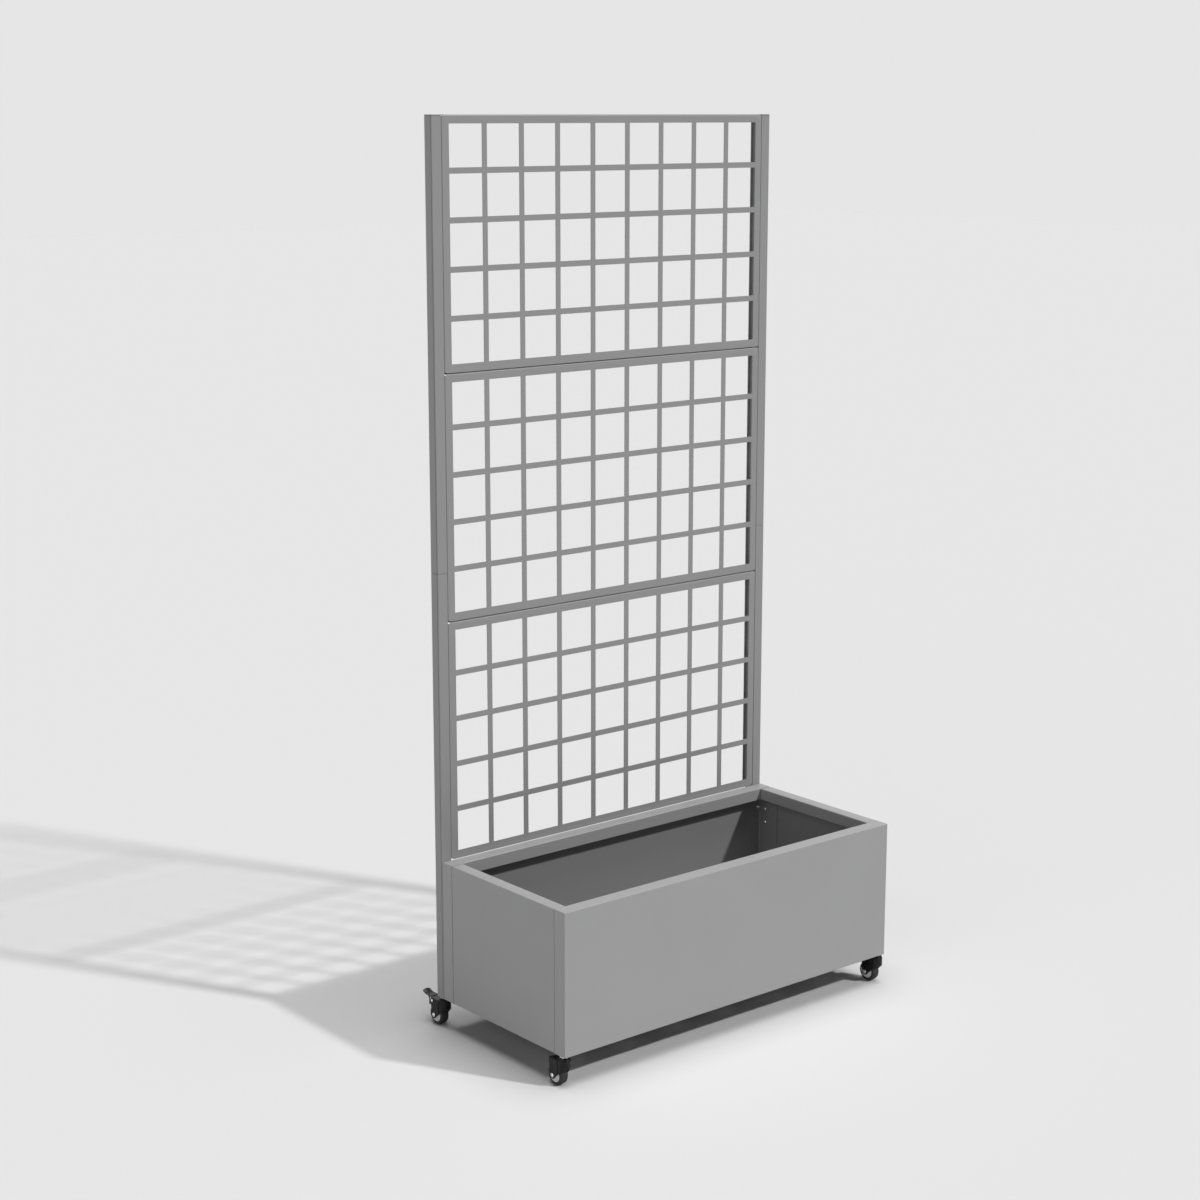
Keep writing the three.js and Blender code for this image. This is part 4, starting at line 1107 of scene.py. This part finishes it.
class PLANTER_OT_swivels(bpy.types.Operator):
    """Makes the stems, hex collars and domed ball cups of the casters"""

    bl_idname = "planter.swivels"
    bl_label = "Stems and swivels"

    def execute(self, context):
        caster = context.scene.planter_caster
        shank = caster.stem_radius
        bore = shank + CLEARANCE
        for name in CASTERS:
            origin = caster_origin(name)
            run = (origin.x, origin.y, 0)
            low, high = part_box(f"caster_{name}_stem")
            cup_low, cup_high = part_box(f"caster_{name}_swivel_cup")
            foot, crown = cup_low.z, cup_high.z
            rim = (cup_high.x - cup_low.x) / 2
            head_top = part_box(f"caster_{name}_fork")[1].z - caster.fork_sheet - CLEARANCE
            stem = turned(
                [
                    (0, low.z), (caster.head_radius, low.z), (caster.head_radius, head_top),
                    (shank, head_top), (shank, high.z), (0, high.z),
                ],
                Z_AXIS, ROD_STEPS,
            )
            ends = (0, 0, crown + CLEARANCE), (0, 0, origin.z - CLEARANCE)
            collar = rod(caster.collar_radius, *ends, steps=6)
            make_piece(
                f"{name}_stem_turning", shift(join([stem, collar]), run), "zinc_plate",
                f"caster_{name}_stem", edge=TURNED_EDGE, segments=3,
            )
            cup = turned(
                [
                    (bore, foot), (rim - CUP_EASE, foot), (rim, foot + 1.5 * CUP_EASE),
                    (rim, foot + CUP_WALL), (rim - CUP_SHOULDER, crown - 0.75 * CUP_SHOULDER),
                    (rim - 3 * CUP_SHOULDER, crown), (bore, crown),
                ],
                Z_AXIS, CUP_STEPS, closed=True,
            )
            node = f"caster_{name}_swivel_cup"
            make_piece(f"{name}_ball_cup", shift(cup, run), "black_coat", node, edge=PRESSED_EDGE)
        return {"FINISHED"}


def tyre_shape(caster, outer, half_width):
    """The tyre about its axle: round shoulders, a crowned tread and a moulding line."""
    bm = bmesh.new()
    seat = caster.rim_radius
    crown = outer - caster.tyre_crown
    corners = [(x, 0, radius) for x, radius in (
        (-half_width, seat), (-half_width, crown), (0.0, outer), (half_width, crown), (half_width, seat),
    )]
    section = bm.faces.new([bm.verts.new(corner) for corner in corners])
    shoulders = [v for v in section.verts if same(v.co.z, crown)]
    beads = [v for v in section.verts if same(v.co.z, seat)]
    ease(bm, shoulders, caster.tyre_shoulder, SHOULDER_STEPS, "VERTICES")
    ease(bm, beads, BEAD_RADIUS, BEAD_STEPS, "VERTICES")
    bmesh.ops.delete(bm, geom=bm.faces[:], context="FACES_ONLY")
    bmesh.ops.spin(
        bm, geom=bm.verts[:] + bm.edges[:], cent=(0, 0, 0), axis=X_AXIS, angle=2 * math.pi,
        steps=TYRE_STEPS, use_merge=True,
    )
    bmesh.ops.recalc_face_normals(bm, faces=bm.faces)
    return bm


def core_shape(caster, hub_end, rim_end):
    """The wheel core about its axle: hub, web and rim."""
    hub, rim = caster.hub_radius, caster.rim_radius
    rim_inside = rim - caster.rim_lip
    web = caster.web_width / 2
    half = [
        (CORE_BORE, hub_end), (hub - CORE_EASE, hub_end), (hub, web + WEB_STEP), (hub + HUB_FILLET, web),
        (rim_inside - RIM_FILLET, web), (rim_inside - CORE_EASE, web + WEB_STEP), (rim_inside, rim_end),
        (rim, rim_end),
    ]
    return turned(mirrored(half), X_AXIS, CORE_STEPS, closed=True)


def rivet(name, title, node, shank, centre=None):
    """Makes a rivet across the fork, with a low dome on both ends, about its node's middle or a centre."""
    fork_low, fork_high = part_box(f"caster_{name}_fork")
    low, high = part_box(node)
    seat = (fork_high.x - fork_low.x) / 2 + CLEARANCE
    rise = (high.x - low.x) / 2 - seat
    head = (high.z - low.z) / 2
    half = [(part * head, seat + height * rise) for part, height in RIVET_DOME] + [(shank, seat)]
    shape = turned(mirrored(half), X_AXIS, ROD_STEPS)
    shift(shape, (low + high) / 2 if centre is None else centre)
    make_piece(title, shape, "zinc_plate", node, f"swivel_{name}", edge=RIVET_EDGE)


class PLANTER_OT_wheels(bpy.types.Operator):
    """Makes the tyres, moulded cores and axle rivets of the casters"""

    bl_idname = "planter.wheels"
    bl_label = "Wheels and axles"

    def execute(self, context):
        caster = context.scene.planter_caster
        for name in CASTERS:
            axle = joint_place(f"{name}_wheel_spin")
            body = f"wheel_{name}"
            low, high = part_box(f"caster_{name}_tyre")
            half_width = (high.x - low.x) / 2
            tyre = shift(tyre_shape(caster, (high.z - low.z) / 2, half_width), axle)
            make_piece(f"{name}_tyre_moulding", tyre, "tyre_rubber", f"caster_{name}_tyre", body)
            node = f"caster_{name}_wheel_core"
            low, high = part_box(node)
            core = shift(core_shape(caster, (high.x - low.x) / 2, half_width - RIM_INSET), axle)
            make_piece(
                f"{name}_core_moulding", core, "wheel_core_plastic", node, body,
                edge=STAMPED_EDGE, segments=3,
            )
            rivet(name, f"{name}_axle_rivet", f"caster_{name}_axle", AXLE_SHANK, axle)
            if name in BRAKED:
                rivet(name, f"{name}_pedal_rivet", f"caster_{name}_brake_pin", PIN_SHANK)
        return {"FINISHED"}


def pedal_plate(caster, half):
    """The stamped top of a pedal about its stem: a level saddle and a raised toe that arches across."""
    saddle_end = caster.saddle_place + caster.saddle_length
    line = [
        (caster.saddle_place, -caster.saddle_drop),
        (saddle_end, -caster.saddle_drop),
        (caster.toe_place - caster.toe_length, -caster.toe_drop - caster.toe_fall),
        (caster.toe_place, -caster.toe_drop),
    ]
    bm = strip([(-half, *corner) for corner in line], (2 * half, 0, 0))
    bmesh.ops.recalc_face_normals(bm, faces=bm.faces)
    if sum(face.normal.z for face in bm.faces) < 0:
        bmesh.ops.reverse_faces(bm, faces=bm.faces)
    corners = [v for v in bm.verts if same(v.co.y, caster.toe_place)]
    ease(bm, corners, caster.toe_corner, CORNER_STEPS, "VERTICES")
    ease(bm, [e for e in bm.edges if len(e.link_faces) == 2], caster.pedal_bend, PEDAL_STEPS)
    shift(bm, (0, 0, caster.pedal_sheet / 2))
    for step in range(1, ARCH_SLICES):
        cut_across(bm, bm.faces[:], Vector((half * (2 * step / ARCH_SLICES - 1), 0, 0)), X_AXIS)
    for vert in bm.verts:
        along = max(0.0, (vert.co.y - saddle_end) / (caster.toe_place - saddle_end))
        vert.co.z -= caster.toe_arch * along * (vert.co.x / half) ** 2
    bmesh.ops.solidify(bm, geom=bm.faces[:], thickness=caster.pedal_sheet)
    bmesh.ops.recalc_face_normals(bm, faces=bm.faces)
    return bm


class PLANTER_OT_brake_pedals(bpy.types.Operator):
    """Makes the stamped brake pedals of the rear casters, with the rivets of their shoes"""

    bl_idname = "planter.brake_pedals"
    bl_label = "Brake pedals"

    def execute(self, context):
        caster = context.scene.planter_caster
        for name in BRAKED:
            node = f"caster_{name}_brake_pedal"
            body = f"brake_{name}"
            origin = caster_origin(name)
            low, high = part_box(node)
            half = (high.x - low.x) / 2
            top = origin.z - caster.saddle_drop
            back = origin.y + caster.saddle_place + caster.saddle_length
            room = block((low.x - half, low.y - half, low.z - half), (high.x + half, back, top))
            ears = carve(node_copy(node), room, "INTERSECT")
            pedal = carve(shift(pedal_plate(caster, half), origin), ears, "UNION")
            make_piece(f"{name}_pedal_stamping", pedal, "black_coat", node, body, edge=STAMPED_EDGE)
            head = turned([(part * caster.shoe_rivet, height) for part, height in SHOE_DOME], Z_AXIS, SHOE_STEPS)
            y, z = origin.y + caster.saddle_place + SHOE_INSET, origin.z - SHOE_DROP
            places = [(Vector((origin.x + side * half, y, z)), X_AXIS * side) for side in (-1, 1)]
            rivets = scattered(head, places)
            make_piece(f"{name}_shoe_rivets", rivets, "zinc_plate", body=body, edge=SHOE_EDGE)
        return {"FINISHED"}


class PLANTER_OT_carried_nodes(bpy.types.Operator):
    """Gives the CAD nodes that stay in view their finishes"""

    bl_idname = "planter.carried_nodes"
    bl_label = "Nuts, plates and sleeves"

    def execute(self, context):
        looks = {
            "post_{}_sleeve": "trellis_coat",
            "post_{}_foot": "zinc_plate",
            "caster_plate_{}": "box_coat",
            "caster_front_{}_nut": "zinc_plate",
        }
        for pattern, look in looks.items():
            for side_name, _ in SIDES:
                node = frame["nodes"][pattern.format(side_name)]
                node.data.materials.clear()
                node.data.materials.append(finish(look))
        return {"FINISHED"}


# ---- Stage ----

SENSOR_WIDTH = 36.0  # Of the camera, in millimetres.
FAR_CLIP = 200.0


def backdrop_nodes(stage):
    """Even light from all round, and one pale colour for what is seen."""
    world = bpy.data.worlds.new("studio")
    world.use_nodes = True
    nodes, links = world.node_tree.nodes, world.node_tree.links
    nodes.clear()
    sky = nodes.new("ShaderNodeBackground")
    sky.inputs["Color"].default_value = (1.0, 1.0, 1.0, 1.0)
    sky.inputs["Strength"].default_value = stage.sky_level
    seen = nodes.new("ShaderNodeBackground")
    seen.inputs["Color"].default_value = (*stage.backdrop, 1.0)
    path = nodes.new("ShaderNodeLightPath")
    shown = path.outputs["Is Camera Ray"]
    for ray in ("Is Glossy Ray", "Is Transmission Ray"):
        either = nodes.new("ShaderNodeMath")
        either.operation = "MAXIMUM"
        links.new(shown, either.inputs[0])
        links.new(path.outputs[ray], either.inputs[1])
        shown = either.outputs["Value"]
    mix = nodes.new("ShaderNodeMixShader")
    links.new(shown, mix.inputs["Fac"])
    links.new(sky.outputs["Background"], mix.inputs[1])
    links.new(seen.outputs["Background"], mix.inputs[2])
    output = nodes.new("ShaderNodeOutputWorld")
    links.new(mix.outputs["Shader"], output.inputs["Surface"])
    return world


def far_lamp(name, strength, spread, source):
    """A lamp far away that shines from a direction."""
    light = bpy.data.lights.new(name, "SUN")
    light.energy = strength
    light.angle = spread
    lamp = bpy.data.objects.new(name, light)
    lamp.rotation_euler = Vector(source).to_track_quat("Z", "Y").to_euler()
    bpy.context.scene.collection.objects.link(lamp)


class PLANTER_OT_stage(bpy.types.Operator):
    """Lays the pale floor, sets the light and places the camera"""

    bl_idname = "planter.stage"
    bl_label = "Stage"

    def execute(self, context):
        scene = context.scene
        stage = scene.planter_stage
        bm = bmesh.new()
        bmesh.ops.create_grid(bm, x_segments=1, y_segments=1, size=stage.floor_size / 2)
        mesh = bpy.data.meshes.new("studio_floor")
        bm.to_mesh(mesh)
        bm.free()
        paper = Finish("studio_paper", stage.floor_colour, roughness=0.9, specular=0.0)
        mesh.materials.append(paper.material)
        floor = bpy.data.objects.new("studio_floor", mesh)
        scene.collection.objects.link(floor)
        far_lamp("key_lamp", stage.key_strength, stage.key_spread, stage.key_direction)
        far_lamp("overhead_lamp", stage.over_strength, stage.over_spread, stage.over_direction)
        far_lamp("fill_lamp", stage.fill_strength, stage.fill_spread, stage.fill_direction)
        scene.world = backdrop_nodes(stage)
        lens = bpy.data.cameras.new("photo_camera")
        lens.lens = stage.camera_lens
        lens.sensor_width = SENSOR_WIDTH
        lens.clip_end = FAR_CLIP
        camera = bpy.data.objects.new("photo_camera", lens)
        camera.location = stage.camera_place
        camera.rotation_euler = Euler((math.pi / 2 - stage.camera_pitch, 0.0, -stage.camera_yaw))
        scene.collection.objects.link(camera)
        scene.camera = camera
        scene.view_settings.view_transform = "Standard"
        return {"FINISHED"}


# ---- Sidebar and registration ----

OPERATORS = (
    PLANTER_OT_stage,
    PLANTER_OT_long_walls,
    PLANTER_OT_end_walls,
    PLANTER_OT_corner_angles,
    PLANTER_OT_box_floor,
    PLANTER_OT_trellis_panels,
    PLANTER_OT_posts,
    PLANTER_OT_trellis_screws,
    PLANTER_OT_box_screws,
    PLANTER_OT_swivels,
    PLANTER_OT_forks,
    PLANTER_OT_wheels,
    PLANTER_OT_brake_pedals,
    PLANTER_OT_carried_nodes,
)


class PLANTER_PT_sidebar(bpy.types.Panel):
    """Lists the pieces of the planter"""

    bl_idname = "PLANTER_PT_sidebar"
    bl_label = "Rolling planter"
    bl_space_type = "VIEW_3D"
    bl_region_type = "UI"
    bl_category = "Planter"

    def draw(self, context):
        for operator in OPERATORS:
            self.layout.operator(operator.bl_idname)


SETTINGS = (
    ("planter_sheet", SheetSettings),
    ("planter_trellis", TrellisSettings),
    ("planter_screws", ScrewSettings),
    ("planter_caster", CasterSettings),
    ("planter_finish", FinishSettings),
    ("planter_stage", StageSettings),
)


def register():
    """Registers the settings, the operators and the sidebar."""
    for name, group in SETTINGS:
        bpy.utils.register_class(group)
        setattr(bpy.types.Scene, name, PointerProperty(type=group))
    for item in (*OPERATORS, PLANTER_PT_sidebar):
        bpy.utils.register_class(item)


def unregister():
    """Takes the sidebar, the operators and the settings away again."""
    for item in (PLANTER_PT_sidebar, *reversed(OPERATORS)):
        bpy.utils.unregister_class(item)
    for name, group in reversed(SETTINGS):
        delattr(bpy.types.Scene, name)
        bpy.utils.unregister_class(group)


def main():
    """Makes the whole planter."""
    register()
    for operator in OPERATORS:
        group, name = operator.bl_idname.split(".")
        getattr(getattr(bpy.ops, group), name)()


if __name__ == "__main__":
    main()
